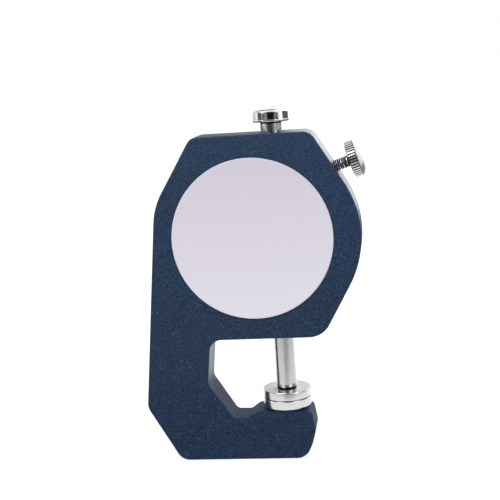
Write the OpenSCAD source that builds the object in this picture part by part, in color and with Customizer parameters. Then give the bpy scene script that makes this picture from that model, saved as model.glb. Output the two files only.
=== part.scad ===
// Pocket thickness gauge with a round dial, 0 to 10 mm.
// Millimetres. Z is up along the spindle, the dial faces -Y, the labelled back faces +Y.
// The origin lies on the foot, below the dial axis and halfway through the cast body.

/* [Cast body] */
// Thickness of the cast body, back face to front face
body_t = 10.5; // [9.5:0.1:12]
// Height of the lower jaw, foot to anvil platform
jaw_h = 13; // [11:0.1:15]
// Height of the throat, anvil platform to ceiling
throat_h = 18.5; // [17.5:0.1:21]
// Height of the round anvil seat above the jaw's cast platform
seat_h = 0.7; // [0.3:0.1:1]
// Wall of the head below the edge of the dial, down to the throat
chin_wall = 2.9; // [2.6:0.1:4]
// Wall of the head above the edge of the dial
crown_wall = 3.4; // [3:0.1:5]
// Wall of the head's round side outside the edge of the dial
side_wall = 2.96; // [2.6:0.1:4]
// Wall behind the movement
back_wall = 2; // [1.6:0.1:2.4]

/* [Label] */
// Radius of the round label on the back
label_r = 20; // [16:0.5:21]
// Thickness of the label
label_t = 0.2; // [0.1:0.05:0.3]

/* [Spindle] */
// Distance of the spindle axis from the dial axis
spindle_off = 5.9; // [5.7:0.1:6.4]
// Radius of the spindle
spindle_r = 2.65; // [2.4:0.05:2.7]
// Wall of the spindle's two bushes
bush_wall = 0.4; // [0.3:0.05:0.45]
// Travel of the spindle
travel = 10; // [8:0.5:10]
// Radius of the contact disc and of the anvil disc
disc_r = 6.1; // [5:0.1:6.5]
// Thickness of the contact disc
disc_t = 2.15; // [1.6:0.05:2.4]
// Thickness of the anvil disc above its platform
anvil_t = 2.25; // [1.6:0.05:2.4]

/* [Lifting knob] */
// Radius of the lifting knob
knob_r = 4.6; // [4:0.1:5.5]
// Height of the lifting knob
knob_h = 2.95; // [2.5:0.05:4]
// Gap between the top of the head and the knob
knob_gap = 2.5; // [1.5:0.1:4]
// Number of flutes round the knob
knob_flutes = 10; // [8:1:16]

/* [Clamp screw] */
// Radius of the clamp screw's thread
screw_r = 1.5; // [1.3:0.05:1.6]
// Radius of its knurled head
screw_head_r = 4.5; // [4.2:0.1:5.5]
// Length of the knurled band
screw_band = 2.2; // [2:0.1:3.5]
// Height of the rounded end of the head
screw_dome = 1.4; // [0.8:0.1:1.8]
// Tilt of the clamp screw above the horizontal, degrees
screw_tilt = 17.5; // [15:0.5:20]
// Height of the clamp screw's axis above the dial axis, at the spindle
screw_up = 11.7; // [10.8:0.1:12]
// Length of the screw in the open, casting to the underside of its head
screw_out = 3.55; // [3:0.05:6]

/* [Dial and bezel] */
// Wall of the bezel round the case ring
bezel_wall = 1.15; // [1:0.05:1.4]
// Radius of the dial and of the crystal
dial_r = 22.2; // [21:0.1:24]
// Thickness of the crystal
crystal_t = 1.2; // [0.8:0.1:1.4]
// Length of the pointer from its axis
pointer_len = 18; // [14:0.5:19]

/* [Movement] */
// Teeth of the centre pinion, which turns once in the travel of 10 mm
pinion_teeth = 16; // [16:2:18]
// Teeth of the take-up gear
takeup_teeth = 60; // [52:8:60]
// Thickness of the two movement plates
plate_t = 0.9; // [0.7:0.05:1]
// Radius of the pillars between the plates
pillar_r = 1.1; // [0.9:0.1:1.3]

/* [Clearances] */
// Radial running clearance of spindle and pivots
run_gap = 0.03; // [0.02:0.01:0.05]
// Radial clearance of pressed and screwed pieces
seat_gap = 0.01; // [0.005:0.005:0.02]

/* [Hidden] */
$fn = 48;

// Cast body
half_t = body_t / 2;
throat_z = jaw_h + throat_h;
dial_z = throat_z + dial_r + chin_wall;
top_z = dial_z + dial_r + crown_wall;
head_r = dial_r + side_wall;
arc_x = -1.6;
arc_z = dial_z;
brow_deg = 30.9;
chin_deg = 29.6;
side_r = head_r / cos((brow_deg + chin_deg) / 2);
side_deg = (brow_deg - chin_deg) / 2;
platform_z = jaw_h - seat_h;
floor_z = jaw_h - 2.4;
p_top_back = [dial_r - 8.6, top_z];
p_shoulder = [dial_r + 1.67, dial_z + 8.93];
p_heel = [dial_r + 7.36, jaw_h + 1.22];
p_foot_back = [dial_r - 0.6, 0];
p_foot_nose = [-10.2, 0];
p_cheek = [-12.05, jaw_h * 0.27];
p_nose = [-13.1, jaw_h - 5.9];
p_tip = [-12.25, platform_z];
p_ramp_top = [1.6, platform_z];
p_ramp_foot = [4, floor_z];
p_floor = [7.6, floor_z];
p_knee = [13.5, jaw_h + 6.9];
p_throat = [12.2, throat_z];
p_chin = [arc_x - (head_r - (arc_z - throat_z) * sin(chin_deg)) / cos(chin_deg), throat_z];
p_side = [arc_x - side_r * cos(side_deg), arc_z + side_r * sin(side_deg)];
p_brow = [arc_x - (head_r - (top_z - arc_z) * sin(brow_deg)) / cos(brow_deg), top_z];

// Head recess and its case ring
recess_r = dial_r - 2.6;
pocket_r = dial_r - 0.9;
ring_r = dial_r + 1.1;
bezel_r = ring_r + 0.05 + bezel_wall;
inner_y = half_t - back_wall;
ledge_y = -3.2;
ring_y = -half_t - 2.75;
label_gap = 0.05;

// Spindle line
rest_z = jaw_h + anvil_t;
disc_top = rest_z + disc_t;
neck_r = spindle_r - 0.5;
neck_h = 0.45;
shaft_lo = disc_top + neck_h;
shaft_hi = top_z + knob_gap;
bush_r = spindle_r + bush_wall;
bush_h = 7;
stud_r = 1.25;
knob_dome = 0.6;
knob_ball = (knob_r * knob_r + knob_dome * knob_dome) / 2 / knob_dome;
knob_edge = knob_h - knob_dome - 0.25;
flat_y = 0.75 - spindle_r;

// Rack line: the rack's pitch line touches the pinion's pitch circle
pitch = 10 / pinion_teeth;
module_g = pitch / PI;
pinion_r = pinion_teeth * module_g / 2;
takeup_r = takeup_teeth * module_g / 2;
tooth_up = 0.85 * module_g;
tooth_down = 1.15 * module_g;
backlash = 0.045;
rack_w = 3;
rack_x = -spindle_off - rack_w / 2;
rack_teeth = round((travel + 3.75) / pitch / 2) * 2;
rack_lo = dial_z - travel - 1.875;
rack_mid_y = ledge_y - plate_t - 0.4;
rack_t = 1;
block_lo = rack_lo + 0.9;
block_h = travel;
rack_screw_z = [block_lo + 2.5, block_lo + block_h - 2.5];

// Movement depths, back to front
plate_y = ledge_y;
plate_front = plate_y - plate_t;
gear_y = rack_mid_y - rack_t - 0.25;
gear_t = 0.5;
bridge_y = gear_y - gear_t - 0.3;
bridge_front = bridge_y - plate_t;
head_t = 0.45;
dial_y = ring_y - 0.4;
dial_t = 0.4;
pointer_y = dial_y - dial_t - 0.9;
needle = min(pointer_len, dial_r - 3.4);
crystal_y = dial_y - dial_t - 2.9;
bezel_y = crystal_y - crystal_t - 0.7;
takeup_turn = -45;
takeup_x = (pinion_r + takeup_r) * cos(takeup_turn);
takeup_z = dial_z + (pinion_r + takeup_r) * sin(takeup_turn);
pivot_r = 0.45;
arbor_r = 0.7;
plate_screw_at = [[15.4, 7.2], [-16, 5.8], [1.5, -16.9]];
pillar_at = [[12, 6], [5, -13.2], [-12.3, -4]];
coil_r = 1.25;
wire = 0.4;
spring_x = -spindle_off - spindle_r - coil_r - wire / 2 - 0.4;
spring_lo = dial_z - min(15, sqrt(pow(recess_r - 1.35, 2) - pow(spring_x, 2)));
spring_hi = dial_z - 5.5;
tip_gap = 0.02;

// Clamp screw frame: X runs outward along the screw from the spindle axis
plug_in = spindle_r / cos(screw_tilt) + tip_gap;
plug_out = plug_in + 2.8;
bore_r = screw_r + run_gap;
screw_reach = screw_out + (head_r - (arc_x + spindle_off) * cos(brow_deg) - screw_up * sin(brow_deg))
    / cos(brow_deg - screw_tilt);

// Extrudes a shape drawn in X and Z from depth yb forward to depth yf
module slab(yb, yf) {
    translate([0, yb, 0])
        rotate([90, 0, 0])
            linear_extrude(height = yb - yf)
                children();
}

// Turns a profile drawn as radius and depth (positive is forward) about the dial axis
module about_dial() {
    translate([0, 0, dial_z])
        rotate([90, 0, 0])
            rotate_extrude($fn = 96)
                children();
}

// Round rod along Y at x, z from depth yb forward to yf
module rod(x, z, r, yb, yf) {
    translate([x, yb, z])
        rotate([90, 0, 0])
            cylinder(r = r, h = yb - yf);
}

// Places children in the clamp screw's own frame
module on_screw() {
    translate([-spindle_off, 0, dial_z + screw_up])
        rotate([0, 180 + screw_tilt, 0])
            children();
}

// Cylinder along X from a to b
module along_x(r, a, b) {
    translate([a, 0, 0])
        rotate([0, 90, 0])
            cylinder(r = r, h = b - a);
}

// Sliver between a sharp corner at p and an arc of radius r, with neighbours a and b.
// It runs a little past the corner, so that it cuts or fills cleanly.
module corner(p, a, b, r) {
    da = (a - p) / norm(a - p);
    db = (b - p) / norm(b - p);
    half = acos(da * db) / 2;
    c = p + (da + db) / norm(da + db) * r / sin(half);
    difference() {
        polygon([p + (p - c) / 4, p + da * r / tan(half), c, p + db * r / tan(half)]);
        translate(c)
            circle(r = r + 0.002, $fn = 64);
    }
}

// Outline of the cast body in X and Z
module outline() {
    difference() {
        union() {
            polygon([p_top_back, p_shoulder, p_heel, p_foot_back, p_foot_nose, p_cheek, p_nose, p_tip,
                p_ramp_top, p_ramp_foot, p_floor, p_knee, p_throat, p_chin, p_side, p_brow]);
            corner(p_ramp_foot, p_ramp_top, p_floor, 1.4);
            corner(p_floor, p_ramp_foot, p_knee, 1.6);
            corner(p_knee, p_floor, p_throat, 2);
            corner(p_throat, p_knee, p_chin, 3.2);
        }
        corner(p_top_back, p_brow, p_shoulder, 3);
        corner(p_shoulder, p_top_back, p_heel, 17);
        corner(p_heel, p_shoulder, p_foot_back, 4);
        corner(p_foot_back, p_heel, p_foot_nose, 3.5);
        corner(p_foot_nose, p_foot_back, p_cheek, 3.7);
        corner(p_cheek, p_foot_nose, p_nose, 8);
        corner(p_nose, p_cheek, p_tip, 4);
        corner(p_tip, p_nose, p_ramp_top, 1.6);
        corner(p_ramp_top, p_tip, p_ramp_foot, 2);
        corner(p_chin, p_throat, p_side, 6);
        corner(p_side, p_chin, p_brow, head_r);
        corner(p_brow, p_side, p_top_back, 3.6);
    }
}

// Half thickness angle of an involute tooth at radius r on pitch radius rp
function inv_deg(a) = tan(a) * 180 / PI - a;
function tooth_half(r, rp) = (pitch / 2 - backlash) / 2 / rp * 180 / PI + inv_deg(20)
    - inv_deg(acos(min(1, rp * cos(20) / r)));

// One gear outline with teeth centred on multiples of the tooth angle
module gear_outline(teeth, rp) {
    lo = rp - tooth_down;
    mid = max(lo, rp * cos(20));
    hi = rp + tooth_up;
    radii = [lo, mid, rp, hi];
    polygon([for (i = [0:teeth - 1], s = [-1, 1], k = [0:3])
        let (r = s < 0 ? radii[k] : radii[3 - k])
        let (a = 360 * i / teeth + s * tooth_half(max(r, mid), rp))
        [r * cos(a), r * sin(a)]]);
}

module frame_casting() {
    color([0.14, 0.2, 0.29])
        difference() {
            union() {
                difference() {
                    slab(half_t, -half_t)
                        outline();
                    rod(0, dial_z, recess_r, inner_y, -half_t - 1);
                }
                // Case ring and recess wall carry the movement and the bezel
                slab(-half_t + 0.5, ring_y)
                    translate([0, dial_z])
                        difference() {
                            circle(r = ring_r, $fn = 128);
                            circle(r = recess_r, $fn = 128);
                        }
                for (p = plate_screw_at)
                    rod(p[0], dial_z + p[1], 2.2, inner_y + 0.5, plate_y);
                // Round seat of the anvil disc
                translate([-spindle_off, 0, platform_z - 1])
                    cylinder(r = min(half_t, disc_r) - 0.15, h = seat_h + 1);
                // Boss round the clamp screw, cut off clear of the spindle
                intersection() {
                    on_screw()
                        along_x(screw_r + 1.4, 1, screw_reach - screw_out - 3.5);
                    translate([-spindle_off - spindle_r - 0.4 - 13, -5, dial_z])
                        cube([13, 10, 40]);
                }
            }
            rod(0, dial_z, pocket_r, ledge_y, ring_y - 1);
            rod(0, dial_z, label_r + 0.1, half_t + 1, half_t - label_t - label_gap);
            // Spindle line: bushes above and below
            translate([-spindle_off, 0, top_z - bush_h])
                cylinder(r = bush_r + seat_gap, h = bush_h + 5);
            translate([-spindle_off, 0, throat_z - 5])
                cylinder(r = bush_r + seat_gap, h = bush_h + 5);
            translate([-spindle_off, 0, throat_z - 5])
                cylinder(r = spindle_r + 0.25, h = top_z - throat_z + 10);
            on_screw()
                along_x(bore_r, 1, 30);
            translate([-spindle_off, 0, jaw_h - 6])
                cylinder(r = 2 + seat_gap, h = 20);
            for (p = plate_screw_at) {
                rod(p[0], dial_z + p[1], 0.8 + seat_gap, plate_y + 3.4, plate_y - 1);
                rod(p[0], dial_z + p[1], 1.8, plate_y, ring_y - 1);
            }
            rod(spring_x, spring_lo, 0.5 + seat_gap, inner_y + 1, inner_y - 1);
            // Groove for the bezel wire
            translate([0, -half_t - 1.9, dial_z])
                rotate([90, 0, 0])
                    rotate_extrude($fn = 96)
                        translate([ring_r + 0.05, 0])
                            circle(r = 0.35, $fn = 24);
        }
}

module back_label() {
    color([0.85, 0.83, 0.88])
        rod(0, dial_z, label_r, half_t - label_gap, half_t - label_gap - label_t);
}

module anvil_disc() {
    color([0.72, 0.72, 0.73])
        translate([-spindle_off, 0, jaw_h]) {
            rotate_extrude($fn = 64)
                polygon([[0, 0], [disc_r - 0.15, 0], [disc_r, 0.15], [disc_r, anvil_t - 0.2],
                    [disc_r - 0.2, anvil_t], [0, anvil_t]]);
            translate([0, 0, -5.8])
                cylinder(r = 2, h = 5.8);
        }
}

module bush(z) {
    translate([-spindle_off, 0, z])
        difference() {
            cylinder(r = bush_r, h = bush_h);
            translate([0, 0, -1])
                cylinder(r = spindle_r + run_gap, h = bush_h + 2);
        }
}

module spindle_bush_upper() {
    color([0.7, 0.56, 0.3])
        bush(top_z - bush_h);
}

module spindle_bush_lower() {
    color([0.7, 0.56, 0.3])
        bush(throat_z);
}

module spindle() {
    color([0.7, 0.7, 0.72])
        difference() {
            union() {
                translate([-spindle_off, 0, shaft_lo])
                    rotate_extrude($fn = 64)
                        polygon([[0, 0], [spindle_r - 0.25, 0], [spindle_r, 0.25],
                            [spindle_r, shaft_hi - shaft_lo], [0, shaft_hi - shaft_lo]]);
                translate([-spindle_off, 0, shaft_hi - 0.5])
                    cylinder(r = stud_r, h = knob_h - 0.3);
            }
            // Flat for the rack block, with its two screw holes
            translate([-spindle_off - 4, flat_y - 4, rack_lo - 0.5])
                cube([8, 4, travel + 4.75]);
            for (z = rack_screw_z)
                rod(-spindle_off, z, 0.7 + seat_gap, flat_y + 1.5, flat_y - 1);
            translate([-spindle_off - 4, 0, spring_hi])
                along_x(0.6 + seat_gap, -3, 3.5);
            translate([-spindle_off, 0, shaft_lo - 1])
                cylinder(r = stud_r + seat_gap, h = 5);
        }
}

module lifting_knob() {
    color([0.8, 0.8, 0.82])
        translate([-spindle_off, 0, shaft_hi])
            difference() {
                intersection() {
                    rotate_extrude($fn = 64)
                        polygon([[0, 0], [knob_r - 0.5, 0], [knob_r, 0.35], [knob_r, knob_edge],
                            [knob_r - 1.2, knob_edge + 1.2], [0, knob_edge + 1.2]]);
                    translate([0, 0, knob_h - knob_ball])
                        sphere(r = knob_ball, $fn = 96);
                    translate([0, 0, -1])
                        linear_extrude(height = knob_h + 2)
                        difference() {
                            circle(r = knob_r + 0.5, $fn = 64);
                            for (i = [0:knob_flutes - 1])
                                rotate(360 * (i + 0.5) / knob_flutes)
                                    translate([knob_r + 2.3, 0])
                                        circle(r = 2.6, $fn = 48);
                        }
                }
                translate([0, 0, -1])
                    cylinder(r = stud_r + seat_gap, h = knob_h + 0.3);
            }
}

module contact_disc() {
    color([0.72, 0.72, 0.73])
        translate([-spindle_off, 0, rest_z]) {
            rotate_extrude($fn = 64)
                polygon([[0, 0], [disc_r - 0.2, 0], [disc_r, 0.2], [disc_r, disc_t - 0.2],
                    [disc_r - 0.2, disc_t], [neck_r, disc_t], [neck_r, disc_t + neck_h],
                    [stud_r, disc_t + neck_h], [stud_r, disc_t + neck_h + 3.4], [0, disc_t + neck_h + 3.4]]);
        }
}

module rack_block() {
    color([0.6, 0.6, 0.62])
        difference() {
            translate([rack_x, rack_mid_y, block_lo])
                cube([rack_w, flat_y - rack_mid_y, block_h]);
            for (z = rack_screw_z)
                rod(-spindle_off, z, 0.7 + seat_gap, flat_y + 1, rack_mid_y - 1);
        }
}

module rack() {
    gap = pitch / 2 - backlash;
    top = (gap - 2 * tooth_up * tan(20)) / 2;
    foot = (gap + 2 * tooth_down * tan(20)) / 2;
    color([0.66, 0.66, 0.68])
        difference() {
            slab(rack_mid_y, rack_mid_y - rack_t)
                translate([-pinion_r, rack_lo])
                    polygon(concat([[rack_x + pinion_r, rack_teeth * pitch], [rack_x + pinion_r, 0],
                        [-tooth_down, 0]],
                        [for (i = [0:rack_teeth - 1], k = [0:3])
                            [k == 0 || k == 3 ? -tooth_down : tooth_up,
                                (i + 0.5) * pitch + [-foot, -top, top, foot][k]]],
                        [[-tooth_down, rack_teeth * pitch]]));
            for (z = rack_screw_z)
                rod(-spindle_off, z, 0.7 + seat_gap, rack_mid_y + 1, rack_mid_y - rack_t - 1);
        }
}

// Cheese head screw along Y: head from y forward, shank backward
module small_screw(x, z, y, r, head_r, len) {
    difference() {
        union() {
            rod(x, z, head_r, y, y - head_t);
            rod(x, z, r, y + len, y);
        }
        translate([x - head_r - 1, y - head_t - 0.5, z - 0.15])
            cube([2 * head_r + 2, 0.75, 0.3]);
    }
}

module rack_screws() {
    color([0.55, 0.55, 0.57])
        for (z = rack_screw_z)
            small_screw(-spindle_off, z, rack_mid_y - rack_t, 0.7, 1.3, flat_y - rack_mid_y + rack_t + 1.3);
}

module spring_pin() {
    color([0.6, 0.6, 0.62])
        translate([0, 0, spring_hi])
            along_x(0.6, spring_x - 1, -spindle_off - 0.6);
}

module spring_post() {
    color([0.6, 0.6, 0.62]) {
        rod(spring_x, spring_lo, 0.5, inner_y + 0.9, -0.9);
        rod(spring_x, spring_lo, 0.8, -0.7, -1.1);
    }
}

// Extension spring: close coil drawn as touching rings, a hook ring at each end
module return_spring() {
    lo = spring_lo + 1.5;
    hi = spring_hi - 1.7;
    rings = round((hi - lo) / wire / 0.92);
    step = (hi - lo) / rings;
    color([0.5, 0.5, 0.52]) {
        translate([spring_x, 0, lo])
            rotate_extrude($fn = 48)
                for (i = [0:rings])
                    translate([coil_r, i * step])
                        circle(r = wire / 2, $fn = 16);
        translate([spring_x, 0, spring_lo])
            rotate([90, 0, 0])
                rotate_extrude($fn = 32)
                    translate([0.75, 0])
                        circle(r = wire / 2, $fn = 16);
        translate([spring_x, 0, spring_hi])
            rotate([0, 90, 0])
                rotate_extrude($fn = 32)
                    translate([0.85, 0])
                        circle(r = wire / 2, $fn = 16);
        translate([spring_x, 0, spring_lo + 0.65])
            cylinder(r = wire / 2, h = lo - spring_lo - 0.65);
        translate([spring_x, 0, lo])
            along_x(wire / 2, -0.05, coil_r);
        translate([spring_x, 0, hi])
            cylinder(r = wire / 2, h = spring_hi - 0.75 - hi);
        translate([spring_x, 0, hi])
            along_x(wire / 2, -0.05, coil_r);
    }
}

module lock_plug() {
    color([0.75, 0.6, 0.3])
        intersection() {
            on_screw()
                along_x(screw_r - 0.05, 1, plug_out);
            translate([-spindle_off - spindle_r - tip_gap - 10, -5, dial_z])
                cube([10, 10, 30]);
        }
}

module lock_screw() {
    color([0.78, 0.78, 0.8])
        on_screw() {
            along_x(screw_r, plug_out + 0.02, screw_reach + 0.5);
            translate([screw_reach, 0, 0])
                rotate([0, 90, 0])
                    rotate_extrude($fn = 64)
                        polygon([[0, 0], [screw_head_r - 0.3, 0], [screw_head_r, 0.3],
                            [screw_head_r, screw_band - 0.2], [screw_head_r - 0.3, screw_band + 0.2],
                            [screw_head_r - 1.3, screw_band + screw_dome * 0.75],
                            [screw_head_r - 2.8, screw_band + screw_dome], [0, screw_band + screw_dome]]);
        }
}

module base_plate() {
    color([0.72, 0.6, 0.35])
        slab(plate_y, plate_front)
            difference() {
                translate([0, dial_z])
                    circle(r = pocket_r - 0.05, $fn = 128);
                // Slot that guides the rack block and keeps the spindle from turning
                translate([rack_x - run_gap, block_lo - 0.3])
                    square([rack_w + 2 * run_gap, block_h + travel + 0.6]);
                translate([0, dial_z])
                    circle(r = pivot_r + run_gap);
                translate([takeup_x, takeup_z])
                    circle(r = pivot_r + run_gap);
                for (p = plate_screw_at)
                    translate([p[0], dial_z + p[1]])
                        circle(r = 0.85);
                for (p = pillar_at)
                    translate([p[0], dial_z + p[1]])
                        circle(r = 0.5 + seat_gap);
                translate([takeup_x + 4.75, takeup_z])
                    circle(r = 0.4 + seat_gap);
            }
}

module bridge_plate() {
    color([0.72, 0.6, 0.35])
        slab(bridge_y, bridge_front)
            difference() {
                translate([0, dial_z])
                    circle(r = 15, $fn = 96);
                translate([0, dial_z])
                    circle(r = arbor_r + run_gap);
                translate([takeup_x, takeup_z])
                    circle(r = pivot_r + run_gap);
                for (p = pillar_at)
                    translate([p[0], dial_z + p[1]])
                        circle(r = 0.55);
                // Cut away over the rack and the plate screws
                translate([rack_x - 0.5, dial_z + 3])
                    square([rack_w + 4, 20]);
                for (p = plate_screw_at)
                    translate([p[0], dial_z + p[1]])
                        circle(r = 2.4);
            }
}

module pillars() {
    color([0.75, 0.62, 0.35])
        for (p = pillar_at)
            difference() {
                union() {
                    rod(p[0], dial_z + p[1], pillar_r, plate_front, bridge_y);
                    rod(p[0], dial_z + p[1], 0.5, plate_y - 0.1, plate_front);
                }
                rod(p[0], dial_z + p[1], 0.5 + seat_gap, bridge_y + 1.6, bridge_y - 1);
            }
}

module plate_screws() {
    color([0.6, 0.6, 0.62])
        for (p = plate_screw_at)
            small_screw(p[0], dial_z + p[1], plate_front, 0.8, 1.5, plate_t + 3);
}

module bridge_screws() {
    color([0.6, 0.6, 0.62])
        for (p = pillar_at)
            small_screw(p[0], dial_z + p[1], bridge_front, 0.5, 1.1, plate_t + 1.4);
}

module centre_arbor() {
    color([0.68, 0.68, 0.7]) {
        slab(rack_mid_y + 0.1, gear_y - gear_t - 0.1)
            translate([0, dial_z])
                gear_outline(pinion_teeth, pinion_r);
        rod(0, dial_z, pivot_r, plate_y - 0.1, rack_mid_y);
        rod(0, dial_z, arbor_r, gear_y - gear_t, pointer_y - 0.48);
    }
}

module pointer() {
    color([0.05, 0.05, 0.06])
        difference() {
            union() {
                rod(0, dial_z, 1.7, pointer_y + 0.35, pointer_y - 0.7);
                slab(pointer_y, pointer_y - 0.2)
                    translate([0, dial_z])
                        polygon([[-0.75, -6], [0.75, -6], [0.55, 0], [0.12, needle],
                            [-0.12, needle], [-0.55, 0]]);
            }
            rod(0, dial_z, arbor_r + seat_gap, pointer_y + 2, pointer_y - 0.5);
        }
}

module takeup_arbor() {
    color([0.68, 0.68, 0.7]) {
        rod(takeup_x, takeup_z, pivot_r, plate_y - 0.1, bridge_front + 0.1);
        rod(takeup_x, takeup_z, arbor_r, plate_front - 0.1, bridge_y + 0.1);
    }
}

module takeup_gear() {
    color([0.76, 0.62, 0.33])
        slab(gear_y, gear_y - gear_t)
            translate([takeup_x, takeup_z])
                difference() {
                    gear_outline(takeup_teeth, takeup_r);
                    circle(r = arbor_r + seat_gap);
                    for (i = [0:3])
                        rotate(45 + 90 * i)
                            translate([takeup_r * 0.56, 0])
                                circle(r = takeup_r * 0.24);
                }
}

module collet() {
    color([0.76, 0.62, 0.33])
        difference() {
            rod(takeup_x, takeup_z, 1.35, plate_front - 0.25, gear_y);
            rod(takeup_x, takeup_z, arbor_r + seat_gap, plate_y, gear_y - 1);
        }
}

// Flat spiral from the collet out to the stud
module hairspring() {
    turns = 4;
    steps = 16 * turns;
    r0 = 1.4;
    r1 = 4.4;
    t = 0.12;
    color([0.25, 0.3, 0.45])
        slab(plate_front - 0.7, plate_front - 1.1)
            translate([takeup_x, takeup_z])
                polygon(concat([for (i = [0:steps])
                    (r0 + (r1 - r0) * i / steps) * [cos(360 * turns * i / steps), sin(360 * turns * i / steps)]],
                    [for (i = [steps:-1:0])
                        (r0 + t + (r1 - r0) * i / steps)
                            * [cos(360 * turns * i / steps), sin(360 * turns * i / steps)]]));
}

module hairspring_stud() {
    color([0.76, 0.62, 0.33])
        difference() {
            rod(takeup_x + 4.75, takeup_z, 0.4, plate_y - 0.1, plate_front - 1.3);
            translate([takeup_x + 4.3, plate_front - 1.1, takeup_z - 0.6])
                cube([0.24, 0.4, 1.2]);
        }
}

module dial_face() {
    color([0.95, 0.95, 0.94])
        difference() {
            rod(0, dial_z, dial_r, dial_y, dial_y - dial_t);
            rod(0, dial_z, 1.5, dial_y + 1, dial_y - 2);
        }
}

module rehaut_ring() {
    color([0.12, 0.12, 0.13])
        about_dial()
            polygon([[dial_r - 1, -dial_y + dial_t], [dial_r, -dial_y + dial_t], [dial_r, -crystal_y],
                [dial_r - 0.5, -crystal_y]]);
}

module crystal() {
    color([0.85, 0.92, 0.95, 0.35])
        rod(0, dial_z, dial_r, crystal_y, crystal_y - crystal_t);
}

module bezel() {
    back = half_t + 0.35;
    front = -bezel_y;
    color([0.78, 0.78, 0.8])
        difference() {
            about_dial()
                polygon([[ring_r + 0.05, back], [bezel_r - 0.3, back], [bezel_r, back + 0.3],
                    [bezel_r, front - 3], [bezel_r - 0.6, front - 2.4], [dial_r + 0.4, front],
                    [dial_r - 1.1, front], [dial_r - 1.1, -crystal_y + crystal_t + seat_gap],
                    [dial_r + 0.05, -crystal_y + crystal_t + seat_gap], [dial_r + 0.05, -ring_y + 0.1],
                    [ring_r + 0.05, -ring_y + 0.1]]);
            translate([0, -half_t - 1.9, dial_z])
                rotate([90, 0, 0])
                    rotate_extrude($fn = 96)
                        translate([ring_r + 0.05, 0])
                            circle(r = 0.35, $fn = 24);
        }
}

module dial_ring() {
    color([0.5, 0.5, 0.52])
        about_dial()
            polygon([[dial_r - 1, -ring_y + 0.1], [dial_r, -ring_y + 0.1], [dial_r, -dial_y],
                [dial_r - 1, -dial_y]]);
}

module bezel_wire() {
    color([0.5, 0.5, 0.52])
        translate([0, -half_t - 1.9, dial_z])
            rotate([90, 0, 0])
                rotate_extrude($fn = 96)
                    translate([ring_r + 0.05, 0])
                        circle(r = 0.3, $fn = 24);
}

frame_casting();
back_label();
anvil_disc();
spindle_bush_upper();
spindle_bush_lower();
spindle();
lifting_knob();
contact_disc();
rack_block();
rack();
rack_screws();
spring_pin();
spring_post();
return_spring();
lock_plug();
lock_screw();
base_plate();
bridge_plate();
pillars();
plate_screws();
bridge_screws();
centre_arbor();
pointer();
takeup_arbor();
takeup_gear();
collet();
hairspring();
hairspring_stud();
dial_face();
rehaut_ring();
crystal();
bezel();
dial_ring();
bezel_wire();
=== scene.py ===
"""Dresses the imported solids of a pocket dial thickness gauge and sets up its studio.

Lengths in the classes are millimetres. Meshes are turned to metres as they are made, in the
shared frame: Z up along the spindle, the dial facing -Y, the labelled back facing +Y.
"""

import logging
import math
from dataclasses import dataclass, field
from enum import Enum
from typing import Any, Callable, Sequence

import bmesh
import bpy
from mathutils import Matrix, Vector

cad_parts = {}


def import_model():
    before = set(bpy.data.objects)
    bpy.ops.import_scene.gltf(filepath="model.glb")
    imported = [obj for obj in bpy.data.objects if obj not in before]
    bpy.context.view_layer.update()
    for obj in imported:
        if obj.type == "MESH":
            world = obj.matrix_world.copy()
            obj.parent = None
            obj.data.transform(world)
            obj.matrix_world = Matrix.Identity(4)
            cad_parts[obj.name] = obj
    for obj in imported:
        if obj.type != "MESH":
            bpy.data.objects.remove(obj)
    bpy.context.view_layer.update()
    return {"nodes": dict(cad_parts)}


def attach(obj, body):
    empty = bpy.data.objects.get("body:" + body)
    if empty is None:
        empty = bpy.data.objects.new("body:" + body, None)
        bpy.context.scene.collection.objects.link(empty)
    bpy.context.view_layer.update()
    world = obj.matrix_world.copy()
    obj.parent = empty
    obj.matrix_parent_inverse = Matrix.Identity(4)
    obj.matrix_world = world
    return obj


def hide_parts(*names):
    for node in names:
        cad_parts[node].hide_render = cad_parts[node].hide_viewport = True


LOG = logging.getLogger("gauge")
MM = 0.001
# The dial's centre is at X 0 and this height, and the spindle runs beside it
DIAL_Z = 56.6
SPINDLE_X = -5.9
# The clamp screw's axis crosses the spindle's this far above the dial's centre, and rises outwards
SCREW_UP = 11.7
SCREW_TILT = math.radians(17.5)
# Faces that meet at more than this keep a crisp edge
SHARP = math.radians(32)
# In local mm: a ring smaller than the first is a pole, and points closer than the second merge
POLE = 1e-6
WELD = 1e-4
WHITE = (1, 1, 1, 1)
# Leaves a piece in its local millimetres until it is placed
LOCAL = Matrix.Identity(4)


class Facing(Enum):
    """Directions that a turned piece's axis may take."""

    UP = "up"
    DIAL = "dial"
    BACK = "back"
    SCREW = "screw"


class Body(Enum):
    """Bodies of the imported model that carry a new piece."""

    FRAME = "frame"
    SPINDLE = "spindle"
    ARBOR = "centre_arbor"
    BEZEL = "bezel"
    SCREW = "lock_screw"


def placing(facing: Facing, x: float = 0.0, y: float = 0.0, z: float = 0.0) -> Matrix:
    """Gives the matrix that stands a piece made along local Z in its place.

    Args:
        facing: Direction that local Z takes.
        x: Place of the local origin in mm.
        y: Place of the local origin in mm.
        z: Place of the local origin in mm.

    Returns:
        Matrix from local millimetres to metres in the shared frame.
    """
    if facing is Facing.DIAL:
        turn = Matrix.Rotation(math.radians(90), 4, "X")
    elif facing is Facing.BACK:
        turn = Matrix.Rotation(math.radians(-90), 4, "X")
    elif facing is Facing.SCREW:
        axis = Vector((-math.cos(SCREW_TILT), 0, math.sin(SCREW_TILT)))
        side = Vector((0, 1, 0))
        up = axis.cross(side)
        turn = Matrix((side, up, axis)).transposed().to_4x4()
    else:
        turn = Matrix.Identity(4)
    return Matrix.Scale(MM, 4) @ Matrix.Translation((x, y, z)) @ turn


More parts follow.
